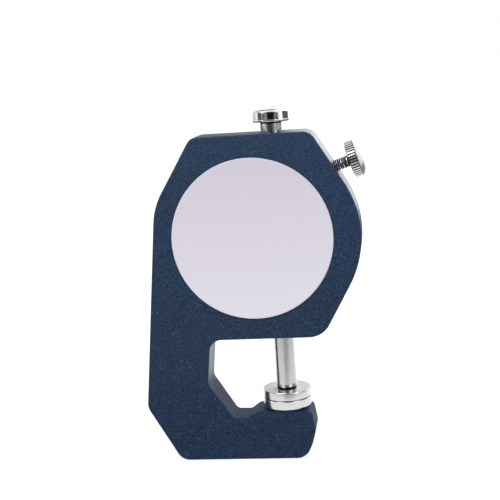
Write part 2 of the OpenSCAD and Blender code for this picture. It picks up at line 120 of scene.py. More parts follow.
def new_object(name: str, data: bpy.types.ID) -> bpy.types.Object:
    """Makes an object round its data and links it to the scene."""
    item = bpy.data.objects.new(name, data)
    bpy.context.scene.collection.objects.link(item)
    return item


def linear(hex_code: str) -> tuple[float, float, float, float]:
    """Turns an sRGB hex colour to linear RGBA.

    Args:
        hex_code: Six hex digits, with or without a leading hash.

    Returns:
        Linear red, green, blue and an alpha of 1.
    """
    digits = hex_code.lstrip("#")
    channels = [int(digits[i : i + 2], 16) / 255 for i in (0, 2, 4)]
    values = [c / 12.92 if c <= 0.04045 else ((c + 0.055) / 1.055) ** 2.4 for c in channels]
    return (values[0], values[1], values[2], 1.0)


def add_node(
    tree: bpy.types.NodeTree, kind: str, values: dict[Any, Any] | None = None
) -> bpy.types.Node:
    """Adds one node and sets or links what it is given.

    Args:
        tree: Node tree that gets the node.
        kind: Blender's identifier of the node type.
        values: Attribute names, or input names or numbers, each with its value or with the
            output socket that feeds it.

    Returns:
        The new node.
    """
    node = tree.nodes.new(kind)
    for key, value in (values or {}).items():
        if isinstance(value, bpy.types.NodeSocket):
            tree.links.new(value, node.inputs[key])
        elif isinstance(key, str) and hasattr(node, key):
            setattr(node, key, value)
        else:
            node.inputs[key].default_value = value
    return node


def number(tree: bpy.types.NodeTree, operation: str, *terms: Any) -> bpy.types.NodeSocket:
    """Adds one step of arithmetic on numbers or sockets and gives its result."""
    return add_node(tree, "ShaderNodeMath", {"operation": operation, **dict(enumerate(terms))}).outputs[0]


def vector(tree: bpy.types.NodeTree, operation: str, *terms: Any) -> bpy.types.Node:
    """Adds one step of arithmetic on vectors, which has a Vector and a Value to give."""
    return add_node(tree, "ShaderNodeVectorMath", {"operation": operation, **dict(enumerate(terms))})


def remap(
    tree: bpy.types.NodeTree, value: Any, start: float, end: float, low: Any = 0.0, high: Any = 1.0
) -> bpy.types.NodeSocket:
    """Adds a clamped straight map of a value.

    Args:
        tree: Node tree that gets the node.
        value: Socket with the value.
        start: Value that becomes low.
        end: Value that becomes high.
        low: Number or socket.
        high: Number or socket.

    Returns:
        Socket with the result.
    """
    values = {"Value": value, "From Min": start, "From Max": end, "To Min": low, "To Max": high}
    return add_node(tree, "ShaderNodeMapRange", values).outputs["Result"]


def noise(
    tree: bpy.types.NodeTree, place: Any, grain_mm: float, detail: float, roughness: float = 0.5
) -> bpy.types.NodeSocket:
    """Adds a noise whose grains have a size in mm.

    Args:
        tree: Node tree that gets the node.
        place: Socket with the place on the object in metres.
        grain_mm: Size of its coarsest grains.
        detail: Number of finer layers.
        roughness: Weight of each finer layer.

    Returns:
        Socket with a value that is mostly between 0.3 and 0.7.
    """
    values = {"Vector": place, "Scale": 1 / (grain_mm * MM), "Detail": detail, "Roughness": roughness}
    return add_node(tree, "ShaderNodeTexNoise", values).outputs["Fac"]


def mix(
    tree: bpy.types.NodeTree, share: Any, first: Any, second: Any, kind: str = "RGBA"
) -> bpy.types.NodeSocket:
    """Adds a mix of two colours or of two numbers.

    Args:
        tree: Node tree that gets the node.
        share: Socket with the share of the second.
        first: Hex code, number or socket.
        second: Hex code, number or socket.
        kind: Blender's word for what is mixed, RGBA or FLOAT.

    Returns:
        Socket with the mix.
    """
    slots, result = ((6, 7), 2) if kind == "RGBA" else ((2, 3), 0)
    pair = [linear(value) if isinstance(value, str) else value for value in (first, second)]
    values = {"data_type": kind, 0: share, **dict(zip(slots, pair))}
    return add_node(tree, "ShaderNodeMix", values).outputs[result]


def bump(tree: bpy.types.NodeTree, height: Any, strength: float, depth_mm: float) -> bpy.types.NodeSocket:
    """Adds a fine relief to the shading alone.

    Args:
        tree: Node tree that gets the node.
        height: Socket with a height from 0 to 1.
        strength: Share of the relief that shows.
        depth_mm: Its full depth.

    Returns:
        Socket with the normal.
    """
    values = {"Height": height, "Strength": strength, "Distance": depth_mm * MM}
    return add_node(tree, "ShaderNodeBump", values).outputs["Normal"]


def new_surface(name: str) -> tuple[bpy.types.Material, bpy.types.NodeTree, bpy.types.Node]:
    """Makes a material with an empty Principled surface.

    Args:
        name: Name of the material.

    Returns:
        The material, its node tree and its shader node.
    """
    material = bpy.data.materials.new(name)
    material.use_nodes = True
    tree = material.node_tree
    tree.nodes.clear()
    shader = add_node(tree, "ShaderNodeBsdfPrincipled")
    add_node(tree, "ShaderNodeOutputMaterial", {"Surface": shader.outputs["BSDF"]})
    return material, tree, shader


@dataclass(frozen=True)
class SpeckledEnamel:
    """Stoved speckled enamel on a die casting: dark blue, finely grained, softly glossy, darker lower down by
    painted shade.

    It is glossiest on the head and dries rougher low down, in the throat and on the jaw. Its
    grains are drawn 0.3 mm wide, about a pixel of the photograph. Real ones may be finer.
    """

    name: str = "stoved_speckled_enamel"
    base: str = "#2F4564"
    base_low: str = "#01213C"
    light: str = "#3C546F"
    dark: str = "#060F24"
    fleck: str = "#7F97B2"
    sheen: str = "#DDE2FF"
    speckle_mm: float = 0.3
    fleck_mm: float = 0.42
    fleck_share: float = 0.27
    cloud_mm: float = 2.4
    peel_mm: float = 0.04
    roughness: float = 0.34
    rough_low: float = 0.62
    rough_spread: float = 0.1
    specular: float = 0.3
    tint_from: float = 8.0
    tint_to: float = 84.0
    gloss_from: float = 17.5
    gloss_to: float = 23.0

    def build(self) -> bpy.types.Material:
        """Builds the material: mottled pigment with an orange-peel skin."""
        material, tree, shader = new_surface(self.name)
        place = add_node(tree, "ShaderNodeTexCoord").outputs["Object"]
        height = add_node(tree, "ShaderNodeSeparateXYZ", {"Vector": place}).outputs["Z"]
        speckle = noise(tree, place, self.speckle_mm, 3.0, 0.6)
        cloud = noise(tree, place, self.cloud_mm, 2.0)
        flecks = noise(tree, place, self.fleck_mm, 1.0)
        # Painted shade: the body colour darkens towards the bottom of the casting
        rise = remap(tree, height, self.tint_from * MM, self.tint_to * MM)
        body = mix(tree, rise, self.base_low, self.base)
        pigment = mix(tree, remap(tree, speckle, 0.36, 0.64), self.dark, self.light)
        mottled = mix(tree, remap(tree, cloud, 0.3, 0.7, 0.34, 0.54), body, pigment)
        colour = mix(tree, remap(tree, flecks, 0.64, 0.8, 0.0, self.fleck_share), mottled, self.fleck)
        gloss_span = (self.gloss_from * MM, self.gloss_to * MM)
        gloss = remap(tree, height, *gloss_span, self.rough_low, self.roughness)
        rough = number(tree, "MULTIPLY_ADD", speckle, self.rough_spread, gloss)
        shader.inputs["Specular IOR Level"].default_value = self.specular
        shader.inputs["Specular Tint"].default_value = linear(self.sheen)
        tree.links.new(colour, shader.inputs["Base Color"])
        tree.links.new(rough, shader.inputs["Roughness"])
        tree.links.new(bump(tree, speckle, 0.1, self.peel_mm), shader.inputs["Normal"])
        return material


@dataclass(frozen=True)
class LabelFilm:
    """Self-adhesive metallised film: pale lavender grey, semi-gloss, with a faint wave and painted light that
    makes it lighter lower down.
    """

    name: str = "self_adhesive_label_film"
    top: str = "#E3DCEA"
    bottom: str = "#F6F2FC"
    radius: float = 20.0
    wave_mm: float = 0.5
    wave_depth: float = 0.02
    roughness: float = 0.32
    specular: float = 0.45

    def build(self) -> bpy.types.Material:
        """Builds the material: pale ink with painted light that makes it a little lighter lower down, over a
        faint wave in the film.
        """
        material, tree, shader = new_surface(self.name)
        place = add_node(tree, "ShaderNodeTexCoord").outputs["Object"]
        height = add_node(tree, "ShaderNodeSeparateXYZ", {"Vector": place}).outputs["Z"]
        # Painted light: the film's colour turns lighter lower down
        painted_light_fade = remap(tree, height, (DIAL_Z + self.radius) * MM, (DIAL_Z - self.radius) * MM)
        film = noise(tree, place, self.wave_mm, 2.0)
        shader.inputs["Roughness"].default_value = self.roughness
        shader.inputs["Specular IOR Level"].default_value = self.specular
        tree.links.new(mix(tree, painted_light_fade, self.top, self.bottom), shader.inputs["Base Color"])
        tree.links.new(bump(tree, film, 0.06, self.wave_depth), shader.inputs["Normal"])
        return material


@dataclass(frozen=True)
class WorkedMetal:
    """Bare or plated metal with the fine marks of its last machining step.

    Marks of their true width would vanish in a render, so they are drawn four times as coarse.
    """

    name: str
    base: str
    worn: str
    roughness: float
    mark_mm: float = 0.12
    mark_depth: float = 0.1
    lay: tuple[float, float, float] = (1.0, 1.0, 12.0)
    centre: tuple[float, float, float] = (0.0, 0.0, 0.0)
    coarser: float = 4.0
    haze_mm: float = 2.5
    step_mm: float = 0.02

    def build(self) -> bpy.types.Material:
        """Builds the material: tinted metal, uneven polish and lay marks along one way."""
        material, tree, shader = new_surface(self.name)
        place = add_node(tree, "ShaderNodeTexCoord").outputs["Object"]
        lay = add_node(
            tree, "ShaderNodeMapping", {"Scale": self.lay, "Location": self.centre, "Vector": place}
        )
        marks = noise(tree, lay.outputs["Vector"], self.mark_mm * self.coarser, 3.0, 0.65)
        colour = mix(tree, noise(tree, place, self.haze_mm, 2.0), self.base, self.worn)
        rough = remap(tree, marks, 0.0, 1.0, self.roughness * 0.75, self.roughness * 1.35)
        shader.inputs["Metallic"].default_value = 1.0
        tree.links.new(colour, shader.inputs["Base Color"])
        tree.links.new(rough, shader.inputs["Roughness"])
        tree.links.new(bump(tree, marks, self.mark_depth, self.step_mm), shader.inputs["Normal"])
        return material


@dataclass(frozen=True)
class PlatedRelief:
    """Plate over the clamp screw: light satin crests, and dark roots, where the plate is duller because
    buffing never reaches it and the dark colour is also painted shade.
    """

    name: str = "plated_knurl_and_thread"
    crest: str = "#E6E6E9"
    root: str = "#2E2F33"
    reach: float = 19.6
    band: float = 2.2
    shank_r: float = 1.5
    thread_depth: float = 0.17
    head_r: float = 4.5
    knurl_depth: float = 0.27
    dull_from: float = 0.5
    dull_to: float = 0.7
    crest_rough: float = 0.34
    root_rough: float = 0.5

    def build(self) -> bpy.types.Material:
        """Builds the material: dark and rough by the depth below the crests, up to the plain dome."""
        material, tree, shader = new_surface(self.name)
        place = add_node(tree, "ShaderNodeTexCoord").outputs["Object"]
        origin = (SPINDLE_X * MM, 0.0, (DIAL_Z + SCREW_UP) * MM)
        axis = (-math.cos(SCREW_TILT), 0.0, math.sin(SCREW_TILT))
        offset = vector(tree, "SUBTRACT", place, origin).outputs["Vector"]
        along = vector(tree, "DOT_PRODUCT", offset, axis).outputs["Value"]
        across = vector(tree, "CROSS_PRODUCT", offset, axis).outputs["Vector"]
        radius = vector(tree, "LENGTH", across).outputs["Value"]
        on_head = number(tree, "GREATER_THAN", along, self.reach * MM)
        crest = mix(tree, on_head, self.shank_r * MM, self.head_r * MM, "FLOAT")
        depth = mix(tree, on_head, self.thread_depth * MM, self.knurl_depth * MM, "FLOAT")
        share = number(tree, "DIVIDE", number(tree, "SUBTRACT", crest, radius), depth)
        sunk = remap(tree, share, self.dull_from, self.dull_to)
        below = number(tree, "LESS_THAN", along, (self.reach + self.band) * MM)
        dull_and_shaded = number(tree, "MULTIPLY", sunk, below)
        rough = remap(tree, dull_and_shaded, 0.0, 1.0, self.crest_rough, self.root_rough)
        shader.inputs["Metallic"].default_value = 1.0
        # The dark roots are partly dull plate and partly painted shade in the hollows of knurl and thread
        tree.links.new(mix(tree, dull_and_shaded, self.crest, self.root), shader.inputs["Base Color"])
        tree.links.new(rough, shader.inputs["Roughness"])
        return material


@dataclass(frozen=True)
class Paint:
    """Sprayed or printed coat: an even colour with a very fine tooth."""

    name: str
    base: str
    shade: str
    roughness: float
    spray_mm: float = 0.25
    tooth_mm: float = 0.01

    def build(self) -> bpy.types.Material:
        """Builds the material: two close tones over a fine spray texture."""
        material, tree, shader = new_surface(self.name)
        place = add_node(tree, "ShaderNodeTexCoord").outputs["Object"]
        spray = noise(tree, place, self.spray_mm, 2.0)
        shader.inputs["Roughness"].default_value = self.roughness
        tree.links.new(mix(tree, spray, self.base, self.shade), shader.inputs["Base Color"])
        tree.links.new(bump(tree, spray, 0.05, self.tooth_mm), shader.inputs["Normal"])
        return material


@dataclass(frozen=True)
class ClearCrystal:
    """Cast acrylic crystal: clear, polished, with the faintest haze of handling."""

    name: str = "cast_acrylic_crystal"
    tint: str = "#FAFDFD"
    haze_mm: float = 4.0
    haze_rough: float = 0.04
    ior: float = 1.49

    def build(self) -> bpy.types.Material:
        """Builds the material: transmission with slightly uneven polish."""
        material, tree, shader = new_surface(self.name)
        place = add_node(tree, "ShaderNodeTexCoord").outputs["Object"]
        haze = noise(tree, place, self.haze_mm, 3.0)
        shader.inputs["Base Color"].default_value = linear(self.tint)
        shader.inputs["Transmission Weight"].default_value = 1.0
        shader.inputs["IOR"].default_value = self.ior
        tree.links.new(remap(tree, haze, 0.0, 1.0, 0.0, self.haze_rough), shader.inputs["Roughness"])
        return material


class Finishes:
    """All the object's materials, built once and asked for by name."""

    def __init__(self) -> None:
        """Builds every finish."""
        even = (1.0, 1.0, 1.0)
        rings = (0.05, 0.05, 1.0)
        on_spindle = (-SPINDLE_X * MM * rings[0], 0.0, 0.0)
        kinds: dict[str, Any] = {
            # Stoved enamel: dark blue skin full of fine lighter specks, satin, with painted shade lower down
            "enamel": SpeckledEnamel(),
            # Label film: pale lavender with a soft shine, and painted light that makes it lighter lower down
            "label": LabelFilm(),
            # Centreless ground bar: fine rings round the rod, mid grey
            "ground": WorkedMetal(
                "ground_steel_bar", "#D2D2D4", "#C4C4C7", 0.22, 0.1, 0.12, rings, on_spindle
            ),
            # Lapped tool steel: lighter, almost without lay
            "lapped": WorkedMetal("lapped_tool_steel", "#E2E1E2", "#D6D5D7", 0.22, 0.25, 0.05, even),
            # Painted shade: nearly black steel for narrow rings, necks and undersides in shade
            "groove": WorkedMetal("painted_shade_black_steel", "#1A1B1F", "#121316", 0.4, 0.2, 0.05, even),
            # Plated knurl and thread: bright crests between dark roots of dull plate and painted shade
            "relief": PlatedRelief(),
            # Bright chrome plate over polished brass: near mirror
            "chrome": WorkedMetal("bright_chrome_plate", "#F0F0F2", "#E6E6E9", 0.07, 0.4, 0.02, even),
            # Turned steel: mid grey with a soft shine
            "steel": WorkedMetal("turned_movement_steel", "#B4B5B8", "#9FA0A4", 0.28, 0.1, 0.1, even),
            # Turned brass: warm yellow, softly bright
            "brass": WorkedMetal("turned_brass", "#D9B469", "#C79F52", 0.24, 0.1, 0.1, even),
            # Stamped sheet: brushed one way, duller than the turned brass
            "plate": WorkedMetal("stamped_brass_sheet", "#D3B26E", "#C4A05A", 0.34, 0.2, 0.14, (8, 1, 1)),
            # Drawn wire: dark grey, smooth
            "spring": WorkedMetal("drawn_spring_wire", "#7E8188", "#6B6E76", 0.3, 0.1, 0.08, even),
            # Blued spring steel: deep blue tempering colour
            "blued": WorkedMetal("blued_spring_steel", "#3C4E7E", "#2E3E68", 0.25, 0.1, 0.05, even),
            # Dial coat: warm white, matt
            "dial": Paint("matt_dial_enamel", "#F4F3EE", "#EFEEE8", 0.55),
            # Printed ink: flat black
            "ink": Paint("screen_printed_ink", "#111114", "#1B1B1F", 0.5),
            # Blackened brass: black with a low shine
            "pointer": Paint("blackened_brass_pointer", "#131316", "#1E1E22", 0.4),
            # Moulded ring: soft black plastic
            "rehaut": Paint("moulded_black_ring", "#17181B", "#202125", 0.45),
            # Acrylic crystal: clear, glossy
            "crystal": ClearCrystal(),
        }
        self._made: dict[str, bpy.types.Material] = {key: kind.build() for key, kind in kinds.items()}

    def __getitem__(self, key: str) -> bpy.types.Material:
        """Gives the material of a finish by its short name."""
        return self._made[key]


@dataclass(frozen=True)
class Corner:
    """One corner of a flat outline: its place, its rounding and the rounding of its rim, in mm."""

    x: float
    y: float
    radius: float
    rim: float = 0.42


def rounded(corners: Sequence[Corner], step: float) -> list[tuple[Vector, Vector, float]]:
    """Rounds the corners of a closed outline that runs clockwise.

    Args:
        corners: Corners in order.
        step: Largest angle in degrees between two points of an arc.

    Returns:
        Points, each with the outward normal and the rounding of the rim there.
    """
    result: list[tuple[Vector, Vector, float]] = []
    count = len(corners)
    for i, corner in enumerate(corners):
        here = Vector((corner.x, corner.y))
        before = Vector((corners[i - 1].x, corners[i - 1].y))
        after = Vector((corners[(i + 1) % count].x, corners[(i + 1) % count].y))
        to_a, to_b = (before - here).normalized(), (after - here).normalized()
        half = math.acos(max(-1.0, min(1.0, to_a.dot(to_b)))) / 2
        centre = here + (to_a + to_b).normalized() * (corner.radius / math.sin(half))
        start = here + to_a * (corner.radius / math.tan(half)) - centre
        sweep = math.pi - 2 * half
        convex = to_a.cross(to_b) > 0
        steps = max(2, math.ceil(math.degrees(sweep) / step))
        for k in range(steps + 1):
            turn = (-sweep if convex else sweep) * k / steps
            arm = Vector(
                (
                    start.x * math.cos(turn) - start.y * math.sin(turn),
                    start.x * math.sin(turn) + start.y * math.cos(turn),
                )
            )
            normal = arm.normalized() if convex else -arm.normalized()
            result.append((centre + arm, normal, corner.rim))
    return result


@dataclass
class Mesher:
    """Makes meshes in local millimetres and hands them over in metres."""

    segments: int = 128

    def ring(self, bm: bmesh.types.BMesh, radius: float, height: float) -> list[bmesh.types.BMVert]:
        """Adds one ring of points about local Z, or a single one on the axis."""
        if radius < POLE:
            return [bm.verts.new((0, 0, height))]
        turns = (2 * math.pi * i / self.segments for i in range(self.segments))
        return [bm.verts.new((radius * math.cos(a), radius * math.sin(a), height)) for a in turns]

    def bridge(
        self,
        bm: bmesh.types.BMesh,
        lower: Sequence[bmesh.types.BMVert],
        upper: Sequence[bmesh.types.BMVert],
    ) -> None:
        """Joins two rings of equal count, either of which may be a pole.

        Args:
            bm: Mesh that gets the faces.
            lower: First ring.
            upper: Second ring.
        """
        count = max(len(lower), len(upper))
        for i in range(count if count > 1 else 0):
            j = (i + 1) % count
            if len(lower) == 1:
                bm.faces.new((lower[0], upper[j], upper[i]))
            elif len(upper) == 1:
                bm.faces.new((lower[i], lower[j], upper[0]))
            else:
                bm.faces.new((lower[i], lower[j], upper[j], upper[i]))

    def lathe(self, name: str, profile: Sequence[tuple[float, float]], place: Matrix) -> bpy.types.Object:
        """Turns a closed or pole-to-pole profile about local Z.

        Args:
            name: Name of the piece.
            profile: Radius and height pairs in mm. A profile that starts and ends off the
                axis is closed on itself, and one that starts and ends on it has poles.
            place: Matrix from local millimetres to the shared frame.

        Returns:
            The new object, with its place in its mesh.
        """
        bm = bmesh.new()
        rings = [self.ring(bm, radius, height) for radius, height in profile]
        for lower, upper in zip(rings, rings[1:]):
            self.bridge(bm, lower, upper)
        if profile[0][0] > POLE:
            self.bridge(bm, rings[-1], rings[0])
        return self.finish(name, bm, place)

    def polar(
        self,
        name: str,
        levels: Sequence[tuple[float, Callable[[float], float]]],
        radius_at: Callable[[float], float],
        place: Matrix,
        steps: int,
    ) -> bpy.types.Object:
        """Stacks copies of one polar outline, each shrunk to a share of its size.

        Args:
            name: Name of the piece.
            levels: Shares of the radius, each with the height in mm as a function of the radius.
            radius_at: Radius of the outline in mm at an angle in radians.
            place: Matrix from local millimetres to the shared frame.
            steps: Points round the outline.

        Returns:
            The new object.
        """
        bm = bmesh.new()
        rings = []
        for share, height_at in levels:
            ring = []
            for i in range(steps):
                a = 2 * math.pi * i / steps
                r = radius_at(a) * share
                ring.append(bm.verts.new((r * math.cos(a), r * math.sin(a), height_at(r))))
            rings.append(ring)
        for lower, upper in zip(rings, rings[1:]):
            self.bridge(bm, lower, upper)
        for ring, height_at in ((rings[0], levels[0][1]), (rings[-1], levels[-1][1])):
            self.bridge(bm, ring, [bm.verts.new((0, 0, height_at(0.0)))])
        return self.finish(name, bm, place)

    def plate(
        self,
        name: str,
        corners: Sequence[Corner],
        low: float,
        high: float,
        edge: float,
        place: Matrix,
    ) -> bpy.types.Object:
        """Makes a flat plate with a rounded outline and small chamfers.

        Args:
            name: Name of the piece.
            corners: Corners of its outline, clockwise.
            low: Height of one face in mm.
            high: Height of the other face in mm.
            edge: Chamfer in mm.
            place: Matrix from local millimetres to the shared frame.

        Returns:
            The new object.
        """
        bm = bmesh.new()
        points = rounded(corners, 12)
        rings = []
        for inset, height in ((edge, low), (0, low + edge), (0, high - edge), (edge, high)):
            rings.append([bm.verts.new((*(p - n * inset), height)) for p, n, _ in points])
        for lower, upper in zip(rings, rings[1:]):
            self.bridge(bm, lower, upper)
        bm.faces.new(rings[0])
        bm.faces.new(rings[-1])
        return self.finish(name, bm, place)

    def join(self, name: str, parts: Sequence[bpy.types.Object]) -> bpy.types.Object:
        """Joins plain meshes into one object and removes the originals.

        Args:
            name: Name of the piece.
            parts: Objects with their place in their meshes.

        Returns:
            The joined object.
        """
        bm = bmesh.new()
        for part in parts:
            bm.from_mesh(part.data)
            bpy.data.objects.remove(part)
        mesh = bpy.data.meshes.new(name)
        bm.to_mesh(mesh)
        bm.free()
        mesh.set_sharp_from_angle(angle=SHARP)
        return new_object(name, mesh)

    def cut(
        self,
        piece: bpy.types.Object,
        tools: Sequence[bpy.types.Object],
        added: Sequence[bpy.types.Object] = (),
    ) -> None:
        """Adds closed meshes to a piece and cuts others out of it, and removes them all.

        Args:
            piece: Piece to be changed.
            tools: Closed meshes in metres that are cut out.
            added: Closed meshes in metres that are joined on first.
        """
        steps = [(item, "UNION") for item in added] + [(item, "DIFFERENCE") for item in tools]
        for tool, operation in steps:
            modifier = piece.modifiers.new("work", "BOOLEAN")
            modifier.operation = operation
            modifier.solver = "EXACT"
            modifier.object = tool
        graph = bpy.context.evaluated_depsgraph_get()
        graph.update()
        mesh = bpy.data.meshes.new_from_object(piece.evaluated_get(graph))
        piece.modifiers.clear()
        piece.data = mesh
        for tool, _ in steps:
            bpy.data.objects.remove(tool)
        mesh.set_sharp_from_angle(angle=SHARP)

    def finish(self, name: str, bm: bmesh.types.BMesh, place: Matrix) -> bpy.types.Object:
        """Merges, turns the faces outwards and makes the object.

        Args:
            name: Name of the piece.
            bm: Mesh in local millimetres, which is freed.
            place: Matrix from local millimetres to the shared frame.

        Returns:
            The new object, smooth where its faces meet at less than 32 degrees.
        """
        bmesh.ops.remove_doubles(bm, verts=bm.verts, dist=WELD)
        bmesh.ops.recalc_face_normals(bm, faces=bm.faces)
        bmesh.ops.transform(bm, matrix=place, verts=bm.verts)
        for face in bm.faces:
            face.smooth = True
        mesh = bpy.data.meshes.new(name)
        bm.to_mesh(mesh)
        bm.free()
        mesh.set_sharp_from_angle(angle=SHARP)
        return new_object(name, mesh)


class Grower:
    """Geometry trees for what repeats or follows a path: bars round a circle, and a helix."""

    def __init__(self) -> None:
        """Builds both trees."""
        lengths = {"Radius": "Float", "Height": "Float"}
        bars = {"Roll": "Float", "Count": "Int", "Bar": "Vector"}
        coil = {"Length": "Float", "Turns": "Float", "Section": "Float", "Corners": "Int"}
        self.radial = self._tree("radial_array", {**lengths, **bars})
        self.helix = self._tree("helix_sweep", {**lengths, **coil})
        self._fill_radial()
        self._fill_helix()

    def _tree(self, name: str, inputs: dict[str, str]) -> bpy.types.NodeTree:
        """Makes an empty tree with named inputs.

        Args:
            name: Name of the tree.
            inputs: Names of its inputs, each with its kind.

        Returns:
            The tree, with a group input node.
        """
        tree = bpy.data.node_groups.new(name, "GeometryNodeTree")
        face = tree.interface
        for label, kind in {"Geometry": "Geometry", **inputs, "Material": "Material"}.items():
            face.new_socket(label, in_out="INPUT", socket_type="NodeSocket" + kind)
        face.new_socket("Geometry", in_out="OUTPUT", socket_type="NodeSocketGeometry")
        add_node(tree, "NodeGroupInput")
        return tree

    def _close(self, tree: bpy.types.NodeTree, made: bpy.types.NodeSocket) -> None:
        """Lifts what a tree makes, joins it to the core, realises it and gives it its finish.

        Args:
            tree: The tree.
            made: Socket with the new geometry.
        """
        given = tree.nodes[0].outputs
        lift = add_node(tree, "ShaderNodeCombineXYZ", {"Z": given["Height"]})
        raised = add_node(
            tree, "GeometryNodeTransform", {"Geometry": made, "Translation": lift.outputs["Vector"]}
        )
        joined = add_node(tree, "GeometryNodeJoinGeometry")
        tree.links.new(raised.outputs["Geometry"], joined.inputs["Geometry"])
        tree.links.new(given["Geometry"], joined.inputs["Geometry"])
        real = add_node(tree, "GeometryNodeRealizeInstances", {"Geometry": joined.outputs["Geometry"]})
        dressed = add_node(
            tree,
            "GeometryNodeSetMaterial",
            {"Geometry": real.outputs["Geometry"], "Material": given["Material"]},
        )
        add_node(tree, "NodeGroupOutput", {"Geometry": dressed.outputs["Geometry"]})

    def _fill_radial(self) -> None:
        """Sets small bars round a circle, each turned to face outwards."""
        tree = self.radial
        given = tree.nodes[0].outputs
        circle = add_node(
            tree, "GeometryNodeMeshCircle", {"Vertices": given["Count"], "Radius": given["Radius"]}
        )
        bar = add_node(tree, "GeometryNodeMeshCube", {"Size": given["Bar"]})
        roll = add_node(tree, "ShaderNodeCombineXYZ", {"Z": given["Roll"]})
        rolled = add_node(
            tree,
            "GeometryNodeTransform",
            {"Geometry": bar.outputs["Mesh"], "Rotation": roll.outputs["Vector"]},
        )
        position = add_node(tree, "GeometryNodeInputPosition")
        turned = add_node(
            tree,
            "FunctionNodeAlignRotationToVector",
            {"axis": "X", "pivot_axis": "Z", "Vector": position.outputs["Position"]},
        )
        copies = add_node(
            tree,
            "GeometryNodeInstanceOnPoints",
            {
                "Points": circle.outputs["Mesh"],
                "Instance": rolled.outputs["Geometry"],
                "Rotation": turned.outputs["Rotation"],
            },
        )
        self._close(tree, copies.outputs["Instances"])

    def _fill_helix(self) -> None:
        """Sweeps a small section along a helix, as a thread's crest or a coil's wire."""
        tree = self.helix
        given = tree.nodes[0].outputs
        path = add_node(
            tree,
            "GeometryNodeCurveSpiral",
            {
                "Resolution": 32,
                "Rotations": given["Turns"],
                "Start Radius": given["Radius"],
                "End Radius": given["Radius"],
                "Height": given["Length"],
            },
        )
        section = add_node(
            tree,
            "GeometryNodeCurvePrimitiveCircle",
            {"Resolution": given["Corners"], "Radius": given["Section"]},
        )
        swept = add_node(
            tree,
            "GeometryNodeCurveToMesh",
            {
                "Fill Caps": True,
                "Curve": path.outputs["Curve"],
                "Profile Curve": section.outputs["Curve"],
            },
        )
        self._close(tree, swept.outputs["Mesh"])

    def grow(
        self,
        name: str,
        core: bpy.types.Object | None,
        tree: bpy.types.NodeTree,
        inputs: dict[str, Any],
        place: Matrix,
    ) -> bpy.types.Object:
        """Evaluates a tree over a core mesh in local millimetres and keeps the result.

        Args:
            name: Name of the new piece.
            core: Object whose mesh the tree adds to, or None. It is removed afterwards.
            tree: Geometry node tree.
            inputs: Input names with their values.
            place: Matrix from local millimetres to the shared frame.

        Returns:
            A plain mesh object with its place in its mesh.
        """
        seed = core
        if seed is None:
            seed = new_object(name + "_seed", bpy.data.meshes.new(name + "_seed"))
        modifier = seed.modifiers.new("grow", "NODES")
        modifier.node_group = tree
        sockets = {
            item.name: item.identifier
            for item in tree.interface.items_tree
            if getattr(item, "in_out", "") == "INPUT"
        }
        for key, value in inputs.items():
            modifier[sockets[key]] = value
        graph = bpy.context.evaluated_depsgraph_get()
        graph.update()
        mesh = bpy.data.meshes.new_from_object(seed.evaluated_get(graph))
        seed.modifiers.clear()
        bpy.data.objects.remove(seed)
        mesh.transform(place)
        mesh.name = name
        return new_object(name, mesh)


@dataclass
class Assembly:
    """What every sub-assembly shares: the finishes, the two mesh makers and the handing over."""

    finishes: Finishes
    mesher: Mesher
    grower: Grower

    def hand_over(
        self, piece: bpy.types.Object, finish: str | None, body: Body, slot: str, *nodes: str
    ) -> None:
        """Dresses a piece, sets it on its body and hides what it stands for.

        Args:
            piece: The new piece.
            finish: Short name of its finish, or None to keep the materials it has.
            body: Body that carries it.
            slot: Material slot of the record; not used.
            *nodes: CAD nodes that it replaces.
        """
        if finish is not None:
            piece.data.materials.clear()
            piece.data.materials.append(self.finishes[finish])
        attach(piece, body.value)
        if nodes:
            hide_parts(*nodes)
        LOG.info("%s: %d faces on %s", piece.name, len(piece.data.polygons), body.value)

    def split(
        self,
        piece: bpy.types.Object,
        finishes: tuple[str, str],
        second: Callable[[bpy.types.MeshPolygon], bool],
    ) -> None:
        """Gives a piece two finishes, face by face.

        Args:
            piece: The piece.
            finishes: Short names of both finishes.
            second: Tells whether a face takes the second one.
        """
        piece.data.materials.clear()
        for finish in finishes:
            piece.data.materials.append(self.finishes[finish])
        for face in piece.data.polygons:
            face.material_index = int(second(face))


